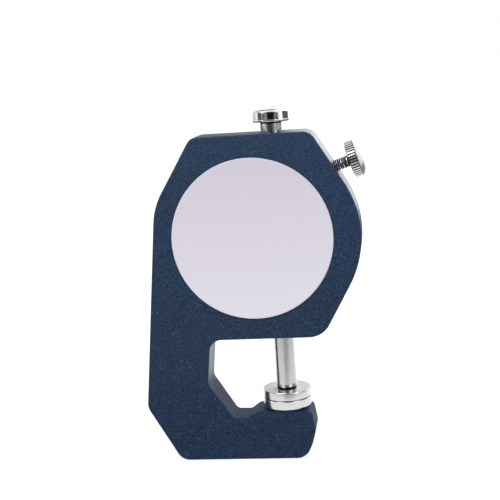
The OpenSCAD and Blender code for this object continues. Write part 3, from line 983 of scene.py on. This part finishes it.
@dataclass
class CastFrame(Assembly):
    """Cast body, back label, anvil disc and the two bushes of the spindle."""

    half_t: float = 5.25
    skin: float = 0.012
    head_r: float = 25.16
    head_x: float = -1.6
    head_up: float = 25.6
    throat_z: float = 31.32
    label_r: float = 20.0
    label_back: float = 5.2
    label_t: float = 0.2
    recess_r: float = 19.6
    pocket_r: float = 21.3
    ring_r: float = 23.3
    anvil_z: float = 13.0
    anvil_r: float = 6.09
    anvil_t: float = 2.25
    bush_r: float = 3.05
    bush_h: float = 7.0
    bush_sunk: float = 0.4
    bore_r: float = 2.68
    lower_bush_z: float = 31.5

    def build(self) -> None:
        """Builds the pieces."""
        self.casting()
        self.label()
        self.anvil()
        self.bushes()

    def corners(self) -> list[Corner]:
        """Gives the corners of the body's outline in mm, clockwise, with their roundings."""
        top, throat, jaw = DIAL_Z + self.head_up, self.throat_z, self.anvil_z
        arc_x, arc_z = self.head_x, DIAL_Z
        # Angles at which the head's arc meets its flat top and the throat
        brow, chin = math.radians(30.9), math.radians(29.6)
        far = self.head_r / math.cos((brow + chin) / 2)
        lean = (brow - chin) / 2
        brow_x = arc_x - (self.head_r - (top - arc_z) * math.sin(brow)) / math.cos(brow)
        chin_x = arc_x - (self.head_r - (arc_z - throat) * math.sin(chin)) / math.cos(chin)
        return [
            Corner(13.6, top, 3.0),
            Corner(23.87, DIAL_Z + 8.93, 17.0),
            Corner(29.56, jaw + 1.22, 4.0),
            Corner(21.6, 0.0, 3.5),
            Corner(-10.2, 0.0, 3.7),
            Corner(-12.05, jaw * 0.27, 8.0, 0.8),
            Corner(-13.1, jaw - 5.9, 4.0, 1.1),
            Corner(-12.25, jaw - 0.7, 1.6, 1.2),
            Corner(1.6, jaw - 0.7, 2.0, 1.2),
            Corner(4.0, jaw - 2.4, 1.4, 1.3),
            Corner(7.6, jaw - 2.4, 1.6, 1.2),
            Corner(13.5, jaw + 6.9, 2.0, 0.7),
            Corner(12.2, throat, 3.2),
            Corner(chin_x, throat, 6.0),
            Corner(arc_x - far * math.cos(lean), arc_z + far * math.sin(lean), self.head_r),
            Corner(brow_x, top, 3.6),
        ]

    def casting(self) -> None:
        """Builds the die casting: rounded slab, label recess, case ring, pocket and bores."""
        bm = bmesh.new()
        outline = rounded(self.corners(), 3)
        h = self.half_t
        # Shares of the rim's rounding: how far in, and how far below the face
        arc = [math.radians(15 * k) for k in range(7)]
        turn = [(1.3, 0.0), *((1 - math.sin(a), 1 - math.cos(a)) for a in arc)]
        dial_side = [(inward, deep, -1) for inward, deep in turn]
        label_side = [(inward, deep, 1) for inward, deep in reversed(turn)]
        levels = [*dial_side, (0, 1.3, -1), (0, 1.3, 1), *label_side]
        # Depth is local Y, so the rings are made straight in the shared frame
        rings = []
        for inward, deep, side in levels:
            ring = []
            for point, normal, rim in outline:
                inset = inward * rim + self.skin
                x, z = point.x - normal.x * inset, point.y - normal.y * inset
                ring.append(bm.verts.new((x, side * (h - deep * rim), z)))
            rings.append(ring)
        for lower, upper in zip(rings, rings[1:]):
            self.mesher.bridge(bm, lower, upper)
        g, r = self.ring_r, self.label_r + 0.1
        front = [
            (g + 0.35, -h), (g + 0.12, -h - 0.02), (g + 0.02, -h - 0.12), (g, -h - 0.3), (g, -7.85),
            (g - 0.15, -8.0), (self.pocket_r + 0.1, -8.0), (self.pocket_r, -7.9), (self.pocket_r, -3.2),
            (self.recess_r, -3.2), (self.recess_r, 3.0), (self.recess_r - 0.25, 3.25), (0, 3.25),
        ]
        back = [
            (r + 0.4, h), (r + 0.16, h), (r + 0.05, h - 0.04), (r, h - 0.12), (r, h - 0.25), (0, h - 0.25),
        ]
        for profile, outer in ((front, rings[0]), (back, rings[-1])):
            turned = []
            for radius, y in profile:
                ring = self.mesher.ring(bm, radius, y)
                for vertex in ring:
                    x, rise, depth = vertex.co
                    vertex.co = (x, depth, rise + DIAL_Z)
                turned.append(ring)
            for lower, upper in zip(turned, turned[1:]):
                self.mesher.bridge(bm, lower, upper)
            loops = [outer, turned[0]]
            pairs = [(loop[i - 1], loop[i]) for loop in loops for i in range(len(loop))]
            edges = [bm.edges.get(pair) or bm.edges.new(pair) for pair in pairs]
            bmesh.ops.triangle_fill(bm, use_beauty=True, edges=edges)
        piece = self.mesher.finish("cast_body", bm, Matrix.Scale(MM, 4))
        up = placing(Facing.UP, SPINDLE_X)
        side = placing(Facing.SCREW, SPINDLE_X, 0, DIAL_Z + SCREW_UP)
        seat = [(0, 11), (5.09, 11), (5.09, 12.75), (4.85, 12.99), (0, 12.99)]
        boss = [(0, 4.3), (2.6, 4.3), (2.9, 4.6), (2.9, 12.4), (0, 12.4)]
        added = [
            self.mesher.lathe("anvil_seat", seat, up),
            self.mesher.lathe("screw_boss", boss, side),
        ]
        pad = [(0.81, -3.4), (2.4, -3.4), (2.25, -3.2), (2.2, -3.0), (2.2, 3.1), (2.1, 3.2), (0.81, 3.2)]
        for x, z in ((15.4, 7.2), (-16.0, 5.8), (1.5, -16.9)):
            added.append(self.mesher.lathe("screw_pad", pad, placing(Facing.DIAL, x, 0, DIAL_Z + z)))
        tools = [
            self.mesher.lathe("cut_spindle", [(0, 26), (3.06, 26), (3.06, 90), (0, 90)], up),
            self.mesher.lathe("cut_stem", [(0, 7.1), (2.01, 7.1), (2.01, 20), (0, 20)], up),
            self.mesher.lathe("cut_screw", [(0, 9.2), (1.53, 9.2), (1.53, 30), (0, 30)], side),
        ]
        self.mesher.cut(piece, tools, added)
        self.hand_over(piece, "enamel", Body.FRAME, "cast_body", "frame_casting")

    def label(self) -> None:
        """Builds the round label with a rolled edge, left blank."""
        r, t = self.label_r, self.label_t
        profile = [
            (0, 0), (r - 0.02, 0), (r, 0.05), (r, t - 0.1),
            (r - 0.04, t - 0.03), (r - 0.12, t), (r - 0.6, t), (0, t),
        ]
        place = placing(Facing.BACK, 0, self.label_back - t, DIAL_Z)
        piece = self.mesher.lathe("back_label_disc", profile, place)
        self.hand_over(piece, "label", Body.FRAME, "label", "back_label")

    def anvil(self) -> None:
        """Builds the anvil disc with its stem."""
        r, t = self.anvil_r, self.anvil_t
        profile = [
            (0, -5.8), (1.7, -5.8), (2.0, -5.5), (2.0, 0), (r - 0.2, 0), (r - 0.06, 0.06), (r, 0.2),
            (r, t - 0.25), (r, t - 0.17), (r - 0.06, t - 0.06), (r - 0.18, t), (r - 0.7, t), (0, t),
        ]
        piece = self.mesher.lathe("anvil", profile, placing(Facing.UP, SPINDLE_X, 0, self.anvil_z))
        self.hand_over(piece, "lapped", Body.FRAME, "lapped_steel", "anvil_disc")

    def bushes(self) -> None:
        """Builds the two bushes with chamfered bores, pressed in a little below the casting's skin."""
        r, b, h, sunk = self.bush_r, self.bore_r, self.bush_h, self.bush_sunk
        profile = [
            (b, sunk + 0.15), (b + 0.12, sunk), (r, sunk),
            (r, h - sunk), (b + 0.12, h - sunk), (b, h - sunk - 0.15),
        ]
        for piece_name, node, z in (
            ("bush_upper_turned", "spindle_bush_upper", DIAL_Z + self.head_up - h),
            ("bush_lower_turned", "spindle_bush_lower", self.lower_bush_z),
        ):
            piece = self.mesher.lathe(piece_name, profile, placing(Facing.UP, SPINDLE_X, 0, z))
            self.hand_over(piece, "brass", Body.FRAME, "brass", node)


@dataclass
class SpindleUnit(Assembly):
    """Sliding spindle with its contact disc and lifting knob."""

    radius: float = 2.65
    shaft_lo: float = 17.85
    shaft_hi: float = 84.7
    flat_y: float = -1.9
    flat_lo: float = 44.225
    flat_hi: float = 58.975
    disc_r: float = 6.09
    disc_z: float = 15.25
    disc_t: float = 2.15
    neck_r: float = 2.5
    neck_h: float = 0.44
    knob_r: float = 4.6
    knob_h: float = 2.95
    knob_dome: float = 0.76
    flutes: int = 7
    flute_r: float = 8.76
    flute_out: float = 8.16
    flute_turn: float = math.radians(17.9)

    def build(self) -> None:
        """Builds the rod, the disc and the knob."""
        self.rod()
        self.disc()
        self.knob()

    def rod(self) -> None:
        """Builds the ground rod with its milled flat and its upper stud."""
        r, lo, hi = self.radius, self.shaft_lo, self.shaft_hi
        profile = [
            (0, lo), (r - 0.12, lo), (r - 0.03, lo + 0.03), (r, lo + 0.12), (r, lo + 0.8), (r, hi - 0.36),
            (r, hi - 0.28), (r, hi - 0.05), (r - 0.05, hi), (1.25, hi), (1.25, hi + 2.1), (0, hi + 2.1),
        ]
        piece = self.mesher.lathe("spindle_rod", profile, placing(Facing.UP, SPINDLE_X))
        low, high, y = self.flat_lo, self.flat_hi, self.flat_y
        mill = self.mesher.plate(
            "cut_flat",
            [Corner(-4, high, 0.1), Corner(4, high, 0.1), Corner(4, low, 0.1), Corner(-4, low, 0.1)],
            -y,
            6,
            0.01,
            placing(Facing.DIAL, SPINDLE_X),
        )
        self.mesher.cut(piece, [mill])
        # Painted shade: the narrow ring of the rod under the knob is nearly black
        self.split(piece, ("ground", "groove"), lambda face: face.center.z > (hi - 0.32) * MM)
        self.hand_over(piece, None, Body.SPINDLE, "ground_steel", "spindle")

    def disc(self) -> None:
        """Builds the contact disc and its neck."""
        r, t, n = self.disc_r, self.disc_t, self.neck_r
        top = t + self.neck_h
        profile = [
            (0, 0), (r - 0.7, 0), (r - 0.22, 0), (r - 0.08, 0.05), (r, 0.17), (r, 0.25), (r, t - 0.3),
            (r - 0.03, t - 0.14), (r - 0.1, t - 0.04), (r - 0.25, t), (r - 0.7, t), (n + 0.16, t),
            (n + 0.04, t + 0.03), (n, t + 0.1), (n, top), (0, top),
        ]
        piece = self.mesher.lathe("contact", profile, placing(Facing.UP, SPINDLE_X, 0, self.disc_z))

        def oiled(face: bpy.types.MeshPolygon) -> bool:
            """Tells whether a face is on the neck or on the lower edge, which take painted shade."""
            height = face.center.z / MM - self.disc_z
            return height > t + 0.05 or 0.01 < height < 0.16

        self.split(piece, ("lapped", "groove"), oiled)
        self.hand_over(piece, None, Body.SPINDLE, "lapped_steel", "contact_disc")

    def knob_radius(self, angle: float) -> float:
        """Gives the fluted outline's radius in mm.

        Args:
            angle: Angle about the spindle in radians.

        Returns:
            Radius at that angle, with the crests between the flutes eased.
        """
        step = 2 * math.pi / self.flutes
        off = ((angle - self.flute_turn) % step) - step / 2
        away = self.knob_r + self.flute_out
        cut = away * math.cos(off) - math.sqrt(max(0.0, self.flute_r**2 - (away * math.sin(off)) ** 2))
        # Buffing eases the crest where the flute meets the outer round
        gap = self.knob_r - cut
        return self.knob_r - (gap + math.sqrt(gap * gap + 0.012)) / 2

    def knob(self) -> None:
        """Builds the fluted lifting knob: rolled lower rim, flutes that run out into the domed top."""
        h, r, rise = self.knob_h, self.knob_r, self.knob_dome

        def flat(height: float) -> Callable[[float], float]:
            """Gives a level at one height."""
            return lambda radius: height

        def dome(below: float) -> Callable[[float], float]:
            """Gives a level that follows the domed top, some way below it."""
            return lambda radius: h - rise * (radius / r) ** 4 - below

        insets = [
            (1.4, flat(0.0)), (0.5, flat(0.0)), (0.26, flat(0.05)), (0.09, flat(0.15)), (0.01, flat(0.29)),
            (0.0, flat(0.42)), (0.04, flat(0.52)), (0.11, flat(0.58)), (0.14, flat(0.66)), (0.14, dome(0.16)),
            (0.16, dome(0.07)), (0.22, dome(0.015)),
            *((inset, dome(0.0)) for inset in (0.3, 0.45, 0.65, 0.95, 1.35, 1.9, 2.6, 3.4, 4.2)),
        ]
        levels = [(1 - inset / r, height_at) for inset, height_at in insets]
        place = placing(Facing.UP, SPINDLE_X, 0, self.shaft_hi)
        piece = self.mesher.polar("lifting_knob_fluted", levels, self.knob_radius, place, 400)
        # Painted shade: the underside of the knob is nearly black
        self.split(piece, ("chrome", "groove"), lambda face: face.normal.z < -0.6)
        self.hand_over(piece, None, Body.SPINDLE, "bright_chrome", "lifting_knob")


@dataclass
class ClampScrew(Assembly):
    """Knurled clamp screw: threaded shank, knurled band and domed end."""

    start: float = 5.62
    reach: float = 19.6
    head_r: float = 4.5
    band: float = 2.2
    dome: float = 1.4
    shank_r: float = 1.5
    pitch: float = 0.5
    thread_depth: float = 0.17
    crest_r: float = 0.165
    knurl_depth: float = 0.26
    ridges: int = 40
    ridge_w: float = 0.37
    ridge_h: float = 0.5

    def build(self) -> None:
        """Builds the screw as one piece in its own frame."""
        r, b, d = self.head_r - self.knurl_depth, self.reach, self.band
        root = self.shank_r - self.thread_depth
        profile = [
            (0, self.start), (root - 0.3, self.start), (root, self.start + 0.3), (root, b), (r - 0.5, b),
            (r - 0.12, b + 0.1), (r, b + 0.3), (r, b + d), (r + 0.08, b + d + 0.01), (r + 0.12, b + d + 0.07),
        ]
        round_r = self.head_r - 0.14
        profile += [
            (share * round_r, b + d + 0.08 + (self.dome - 0.1) * (1 - share**2))
            for share in (0.985, 0.95, 0.9, 0.82, 0.72, 0.6, 0.46, 0.3, 0.15, 0.0)
        ]
        relief = self.finishes["relief"]
        core = self.mesher.lathe("screw_core", profile, LOCAL)
        knurled = self.grower.grow(
            "screw_knurled",
            core,
            self.grower.radial,
            {
                "Count": self.ridges,
                "Radius": self.head_r - self.ridge_h / 2 - 0.015,
                "Bar": (self.ridge_h, self.ridge_w, d - 0.3),
                "Roll": 0.0,
                "Height": b + d / 2 + 0.02,
                "Material": relief,
            },
            LOCAL,
        )
        length = self.reach - self.start - 0.7
        piece = self.grower.grow(
            "clamp_screw",
            knurled,
            self.grower.helix,
            {
                "Radius": root,
                "Length": length,
                "Turns": length / self.pitch,
                "Section": self.crest_r,
                "Corners": 6,
                "Height": self.start + 0.4,
                "Material": relief,
            },
            placing(Facing.SCREW, SPINDLE_X, 0, DIAL_Z + SCREW_UP),
        )
        piece.data.set_sharp_from_angle(angle=SHARP)
        self.hand_over(piece, None, Body.SCREW, "bright_chrome", "lock_screw")


@dataclass
class DialSide(Assembly):
    """Bezel, crystal, dial with its printing, rehaut ring and pointer."""

    bezel_r: float = 24.5
    lip_r: float = 21.1
    back: float = 5.6
    front: float = 13.6
    dial_r: float = 22.2
    dial_front: float = 8.8
    crystal_back: float = 11.7
    crystal_t: float = 1.2
    pointer_depth: float = 9.7
    pointer_len: float = 18.0
    ridges: int = 132
    ridge_side: float = 0.62
    divisions: int = 100
    scale_r: float = 20.7
    number_r: float = 15.4
    number_size: float = 4.2
    ink_t: float = 0.02

    def build(self) -> None:
        """Builds the pieces."""
        self.bezel()
        self.glass()
        self.dial()
        self.printing()
        self.pointer()

    def place(self, depth: float = 0.0) -> Matrix:
        """Gives the matrix of a piece that faces the reader at a depth in front of the mid-plane."""
        return placing(Facing.DIAL, 0, -depth, DIAL_Z)

    def bezel(self) -> None:
        """Builds the turned bezel with its knurled grip."""
        r, b, f, lip = self.bezel_r - 0.22, self.back, self.front, self.lip_r
        profile = [
            (23.35, b), (r - 0.2, b), (r + 0.1, b + 0.12), (r + 0.2, b + 0.35), (r + 0.1, b + 0.6),
            (r, b + 0.75), (r, f - 3.4), (r + 0.1, f - 3.3), (r + 0.2, f - 3.1), (r + 0.1, f - 2.9),
            (r - 0.5, f - 2.4), (22.8, f - 0.2), (22.4, f), (lip + 0.3, f), (lip, f - 0.2),
            (lip, self.crystal_back + 1.21), (22.25, self.crystal_back + 1.21), (22.25, 8.1), (23.35, 8.1),
        ]
        core = self.mesher.lathe("bezel_core", profile, LOCAL)
        side = self.ridge_side
        piece = self.grower.grow(
            "bezel_knurled",
            core,
            self.grower.radial,
            {
                "Count": self.ridges,
                "Radius": self.bezel_r - side / math.sqrt(2) - 0.01,
                "Bar": (side, side, f - b - 4.3),
                "Roll": math.radians(45),
                "Height": (b + f - 2.65) / 2,
                "Material": self.finishes["chrome"],
            },
            self.place(),
        )
        piece.data.set_sharp_from_angle(angle=SHARP)
        self.hand_over(piece, None, Body.BEZEL, "bright_chrome", "bezel")

    def glass(self) -> None:
        """Builds the crystal with a polished chamfer, and the black ring behind it."""
        r, t = self.dial_r, self.crystal_t
        profile = [(0, 0), (r - 0.1, 0), (r, 0.1), (r, t - 0.25), (r - 0.25, t), (0, t)]
        crystal = self.mesher.lathe("crystal_disc", profile, self.place(self.crystal_back))
        self.hand_over(crystal, "crystal", Body.BEZEL, "crystal", "crystal")
        low, high = self.dial_front, self.crystal_back
        profile = [(r - 1, low), (r, low), (r, high), (r - 0.5, high)]
        ring = self.mesher.lathe("rehaut", profile, self.place())
        self.hand_over(ring, "rehaut", Body.BEZEL, "rehaut_black", "rehaut_ring")

    def dial(self) -> None:
        """Builds the dial disc with its centre hole."""
        r, f = self.dial_r, self.dial_front
        profile = [(1.5, f - 0.4), (r - 0.05, f - 0.4), (r, f - 0.35), (r, f), (1.55, f), (1.5, f - 0.05)]
        piece = self.mesher.lathe("dial_disc", profile, self.place())
        self.hand_over(piece, "dial", Body.BEZEL, "dial_white", "dial_face")

    def printing(self) -> None:
        """Prints a hundred divisions and the numbers 0 to 9."""
        ink = self.finishes["ink"]
        film = self.ink_t
        marks = None
        for count, length, width in ((self.divisions, 1.5, 0.14), (20, 2.1, 0.2), (10, 2.7, 0.3)):
            marks = self.grower.grow(
                "dial_divisions",
                marks,
                self.grower.radial,
                {
                    "Count": count,
                    "Radius": self.scale_r - length / 2,
                    "Bar": (length, width, film),
                    "Height": self.dial_front + film / 2,
                    "Material": ink,
                },
                LOCAL,
            )
        marks.data.transform(self.place())
        self.hand_over(marks, None, Body.BEZEL, "pointer_black")
        numbers = []
        for value in range(10):
            curve = bpy.data.curves.new("number", "FONT")
            curve.body = str(value)
            curve.size = self.number_size
            curve.align_x = "CENTER"
            curve.align_y = "CENTER"
            curve.extrude = film / 2
            text = new_object("number", curve)
            graph = bpy.context.evaluated_depsgraph_get()
            mesh = bpy.data.meshes.new_from_object(text.evaluated_get(graph))
            bpy.data.objects.remove(text)
            angle = math.radians(90 - 36 * value)
            out = self.number_r
            mesh.transform(Matrix.Translation((out * math.cos(angle), out * math.sin(angle), 0)))
            numbers.append(new_object("number", mesh))
        piece = self.mesher.join("dial_numbers", numbers)
        piece.data.transform(self.place(self.dial_front + film / 2))
        self.hand_over(piece, "ink", Body.BEZEL, "pointer_black")

    def pointer(self) -> None:
        """Builds the pointer with its hub."""
        d, n = self.pointer_depth, self.pointer_len
        outline = [
            Corner(-0.12, n, 0.05), Corner(0.12, n, 0.05), Corner(0.6, 0, 0.3),
            Corner(0.8, -6, 0.3), Corner(-0.8, -6, 0.3), Corner(-0.6, 0, 0.3),
        ]
        blade = self.mesher.plate("blade", outline, d, d + 0.2, 0.04, self.place())
        profile = [
            (0.71, d - 0.35), (1.5, d - 0.35), (1.7, d - 0.2), (1.7, d + 0.35), (1.55, d + 0.55),
            (1.1, d + 0.68), (0, d + 0.7), (0, d + 0.5), (0.71, d + 0.5),
        ]
        hub = self.mesher.lathe("hub", profile, self.place())
        piece = self.mesher.join("pointer_hand", [blade, hub])
        self.hand_over(piece, "pointer", Body.ARBOR, "pointer_black", "pointer")


@dataclass
class Movement(Assembly):
    """Inner pieces that keep their CAD solids and get real finishes."""

    wear: dict[str, str] = field(
        default_factory=lambda: {
            "rack_block": "steel", "rack": "steel", "rack_screws": "steel", "spring_pin": "steel",
            "spring_post": "steel", "return_spring": "spring", "lock_plug": "brass", "base_plate": "plate",
            "bridge_plate": "plate", "pillars": "brass", "plate_screws": "steel", "bridge_screws": "steel",
            "centre_arbor": "steel", "takeup_arbor": "steel", "takeup_gear": "plate", "collet": "brass",
            "hairspring": "blued", "hairspring_stud": "brass", "dial_ring": "steel", "bezel_wire": "spring",
        }
    )

    def dress(self, nodes: dict[str, bpy.types.Object]) -> None:
        """Gives each carried-over node its finish.

        Args:
            nodes: CAD nodes by name.
        """
        for name, finish in self.wear.items():
            mesh = nodes[name].data
            mesh.materials.clear()
            mesh.materials.append(self.finishes[finish])
        LOG.info("movement: %d nodes dressed", len(self.wear))


@dataclass
class Studio:
    """Plain white studio: floor, world, soft lamps, dark cards for the chrome, and the camera."""

    lens: float = 78.17
    camera_at: tuple[float, float, float] = (-0.03519, 0.26501, 0.09977)
    right: tuple[float, float, float] = (-0.99007, -0.12499, -0.06438)
    down: tuple[float, float, float] = (0.04132, 0.17898, -0.98299)
    ahead: tuple[float, float, float] = (0.13438, -0.97588, -0.17204)
    world_light: float = 0.7
    behind: float = 1.4
    before: float = 0.2
    above: float = 0.3
    paper: float = 0.45
    paper_glow: float = 0.73
    paper_dim: float = 0.3

    def build(self) -> None:
        """Builds the whole studio."""
        self.world()
        self.floor()
        self.lamps()
        self.cards()
        self.camera()

    def world(self) -> None:
        """White for the camera and for glass, softer for light, and bright only behind for mirrors."""
        world = bpy.data.worlds.new("studio_world")
        bpy.context.scene.world = world
        world.use_nodes = True
        tree = world.node_tree
        tree.nodes.clear()
        path = add_node(tree, "ShaderNodeLightPath").outputs
        seen = number(tree, "MAXIMUM", path["Is Camera Ray"], path["Is Transmission Ray"])
        way = add_node(tree, "ShaderNodeTexCoord").outputs["Generated"]
        parts = add_node(tree, "ShaderNodeSeparateXYZ", {"Vector": way}).outputs
        # Rays that leave towards -Y pass behind the object, and mirrors there show a bright wall
        behind = remap(tree, parts["Z"], 0.2, 0.5, self.behind, self.behind * 0.75)
        before = remap(tree, parts["Z"], 0.12, 0.4, self.before, self.above)
        mirrored = remap(tree, parts["Y"], -0.3, 0.35, behind, before)
        unseen = mix(tree, path["Is Glossy Ray"], self.world_light, mirrored, "FLOAT")
        level = mix(tree, seen, unseen, 1.0, "FLOAT")
        light = add_node(tree, "ShaderNodeBackground", {"Color": WHITE, "Strength": level})
        add_node(tree, "ShaderNodeOutputWorld", {"Surface": light.outputs["Background"]})

    def floor(self) -> None:
        """White sweep floor that keeps the object's shadow."""
        material = bpy.data.materials.new("studio_floor_paper")
        material.use_nodes = True
        tree = material.node_tree
        tree.nodes.clear()
        path = add_node(tree, "ShaderNodeLightPath").outputs
        matt = add_node(tree, "ShaderNodeBsdfDiffuse", {"Color": (self.paper, self.paper, self.paper, 1)})
        glow = add_node(tree, "ShaderNodeEmission", {"Color": WHITE, "Strength": self.paper_glow})
        shown = add_node(
            tree, "ShaderNodeAddShader", {0: matt.outputs["BSDF"], 1: glow.outputs["Emission"]}
        )
        dim = (self.paper_dim, self.paper_dim, self.paper_dim, 1)
        plain = add_node(tree, "ShaderNodeBsdfDiffuse", {"Color": dim})
        # In mirrors the paper is bright for 8 cm round the object, most of all behind it, and dark past 32 cm
        place = add_node(tree, "ShaderNodeTexCoord").outputs["Object"]
        depth = add_node(tree, "ShaderNodeSeparateXYZ", {"Vector": place}).outputs["Y"]
        fall = remap(tree, vector(tree, "LENGTH", place).outputs["Value"], 0.08, 0.32, 1.05, 0.08)
        gain = remap(tree, depth, -0.02, -0.1, 1.0, 1.7)
        level = number(tree, "MULTIPLY", fall, gain)
        mirrored = add_node(tree, "ShaderNodeEmission", {"Color": WHITE, "Strength": level})
        unseen = add_node(
            tree,
            "ShaderNodeMixShader",
            {0: path["Is Glossy Ray"], 1: plain.outputs["BSDF"], 2: mirrored.outputs["Emission"]},
        )
        pick = add_node(
            tree,
            "ShaderNodeMixShader",
            {0: path["Is Camera Ray"], 1: unseen.outputs["Shader"], 2: shown.outputs["Shader"]},
        )
        add_node(tree, "ShaderNodeOutputMaterial", {"Surface": pick.outputs["Shader"]})
        floor = self.card("studio_floor", (0, 0, -0.0001), (0, 0, 1), 6.0, 6.0)
        floor.data.materials.append(material)

    def card(
        self,
        name: str,
        centre: tuple[float, float, float],
        facing: tuple[float, float, float],
        width: float,
        height: float,
    ) -> bpy.types.Object:
        """Makes one flat rectangle in metres.

        Args:
            name: Name of the object.
            centre: Its centre.
            facing: Direction of its normal.
            width: Its width.
            height: Its height.

        Returns:
            The new object.
        """
        mesh = bpy.data.meshes.new(name)
        w, h = width / 2, height / 2
        mesh.from_pydata([(-w, -h, 0), (w, -h, 0), (w, h, 0), (-w, h, 0)], [], [(0, 1, 2, 3)])
        turn = Vector(facing).to_track_quat("Z", "Y").to_matrix().to_4x4()
        mesh.transform(Matrix.Translation(centre) @ turn)
        return new_object(name, mesh)

    def lamp(
        self,
        name: str,
        at: tuple[float, float, float],
        aim: tuple[float, float, float],
        size: tuple[float, float],
        radiance: float,
        mirrored: bool = True,
    ) -> None:
        """Adds one soft rectangular lamp that the camera doesn't see.

        Args:
            name: Name of the lamp.
            at: Its place in metres.
            aim: Point that it faces.
            size: Width and height in metres.
            radiance: Brightness of its surface, where 1 is white.
            mirrored: Whether mirrors see it.
        """
        data = bpy.data.lights.new(name, "AREA")
        data.shape = "RECTANGLE"
        data.size, data.size_y = size
        data.energy = radiance * math.pi * size[0] * size[1]
        item = new_object(name, data)
        item.location = at
        item.rotation_euler = (Vector(at) - Vector(aim)).to_track_quat("Z", "Y").to_euler()
        item.visible_camera = False
        item.visible_glossy = mirrored

    def lamps(self) -> None:
        """Sets the key softbox, the fill and the rim lamp behind the top."""
        self.lamp("key_softbox", (0.35, 0.55, 0.55), (0, 0, 0.05), (0.45, 0.45), 3.8)
        self.lamp("fill_softbox", (-0.55, 0.45, 0.3), (0, 0, 0.05), (0.35, 0.5), 1.95)
        self.lamp("rim_softbox", (-0.2, -0.45, 0.45), (0, 0, 0.07), (0.7, 0.3), 2.6, False)

    def cards(self) -> None:
        """Sets white, grey and black cards that only mirrors see, which band the chrome."""
        for name, centre, width, tall, glow in (
            ("card_middle", (-0.036, 0.6, 0.12), 0.212, 0.5, 0.0),
            ("card_beside", (0.21, 0.6, 0.12), 0.187, 0.5, 0.0),
            ("card_left", (0.467, -0.18, 0.186), 0.22, 0.26, 0.1),
            ("card_right", (-0.497, -0.052, 0.186), 0.24, 0.26, 0.1),
            ("card_stem_left", (0.28, -0.41, -0.19), 0.14, 0.5, 0.0),
            ("card_stem_right", (-0.3, -0.44, -0.19), 0.16, 0.5, 0.0),
            ("card_rod", (-0.045, 0.088, 0.001), 0.1, 0.05, 0.4),
            ("card_disc", (0.012, -0.15, 0.05), 0.12, 0.05, 0.8),
            ("card_top", (0.105, -0.6, 0.226), 0.12, 0.228, 0.25),
            ("card_dome", (-0.5, -0.42, 0.19), 0.44, 0.26, 1.15),
            ("reflector_left", (0.48, 0.13, -0.192), 0.5, 0.5, 1.6),
            ("reflector_right", (-0.5, -0.01, -0.192), 0.34, 0.5, 1.0),
            ("reflector_behind", (-0.16, -0.8, 0.14), 0.46, 0.28, 3.6),
        ):
            material, _, shader = new_surface("studio_" + name)
            shader.inputs["Base Color"].default_value = (0.01, 0.01, 0.01, 1)
            shader.inputs["Specular IOR Level"].default_value = 0.0
            shader.inputs["Emission Color"].default_value = WHITE
            shader.inputs["Emission Strength"].default_value = glow
            # A card just above the floor lies on it, and the others stand and face the object
            flat = 0 < centre[2] < 0.01
            facing = (0, 0, 1) if flat else (-centre[0], -centre[1], 0)
            item = self.card(name, centre, facing, width, tall)
            item.data.materials.append(material)
            item.visible_camera = False
            item.visible_diffuse = False
            item.visible_shadow = False
            item.visible_transmission = False

    def camera(self) -> None:
        """Sets the camera at the photograph's viewing angle."""
        data = bpy.data.cameras.new("camera")
        data.sensor_width = 36
        data.lens = self.lens
        data.clip_start = 0.01
        data.clip_end = 20
        item = new_object("camera", data)
        axes = Matrix((self.right, -Vector(self.down), -Vector(self.ahead))).transposed().to_4x4()
        item.matrix_world = Matrix.Translation(self.camera_at) @ axes
        bpy.context.scene.camera = item


def main() -> None:
    """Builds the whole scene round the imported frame."""
    logging.basicConfig(level=logging.INFO, format="%(name)s %(message)s")
    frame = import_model()
    finishes, mesher, grower = Finishes(), Mesher(), Grower()
    CastFrame(finishes, mesher, grower).build()
    SpindleUnit(finishes, mesher, grower).build()
    ClampScrew(finishes, mesher, grower).build()
    DialSide(finishes, mesher, grower).build()
    Movement(finishes, mesher, grower).dress(frame["nodes"])
    Studio().build()
    view = bpy.context.scene.view_settings
    view.view_transform = "Standard"


if __name__ == "__main__":
    main()
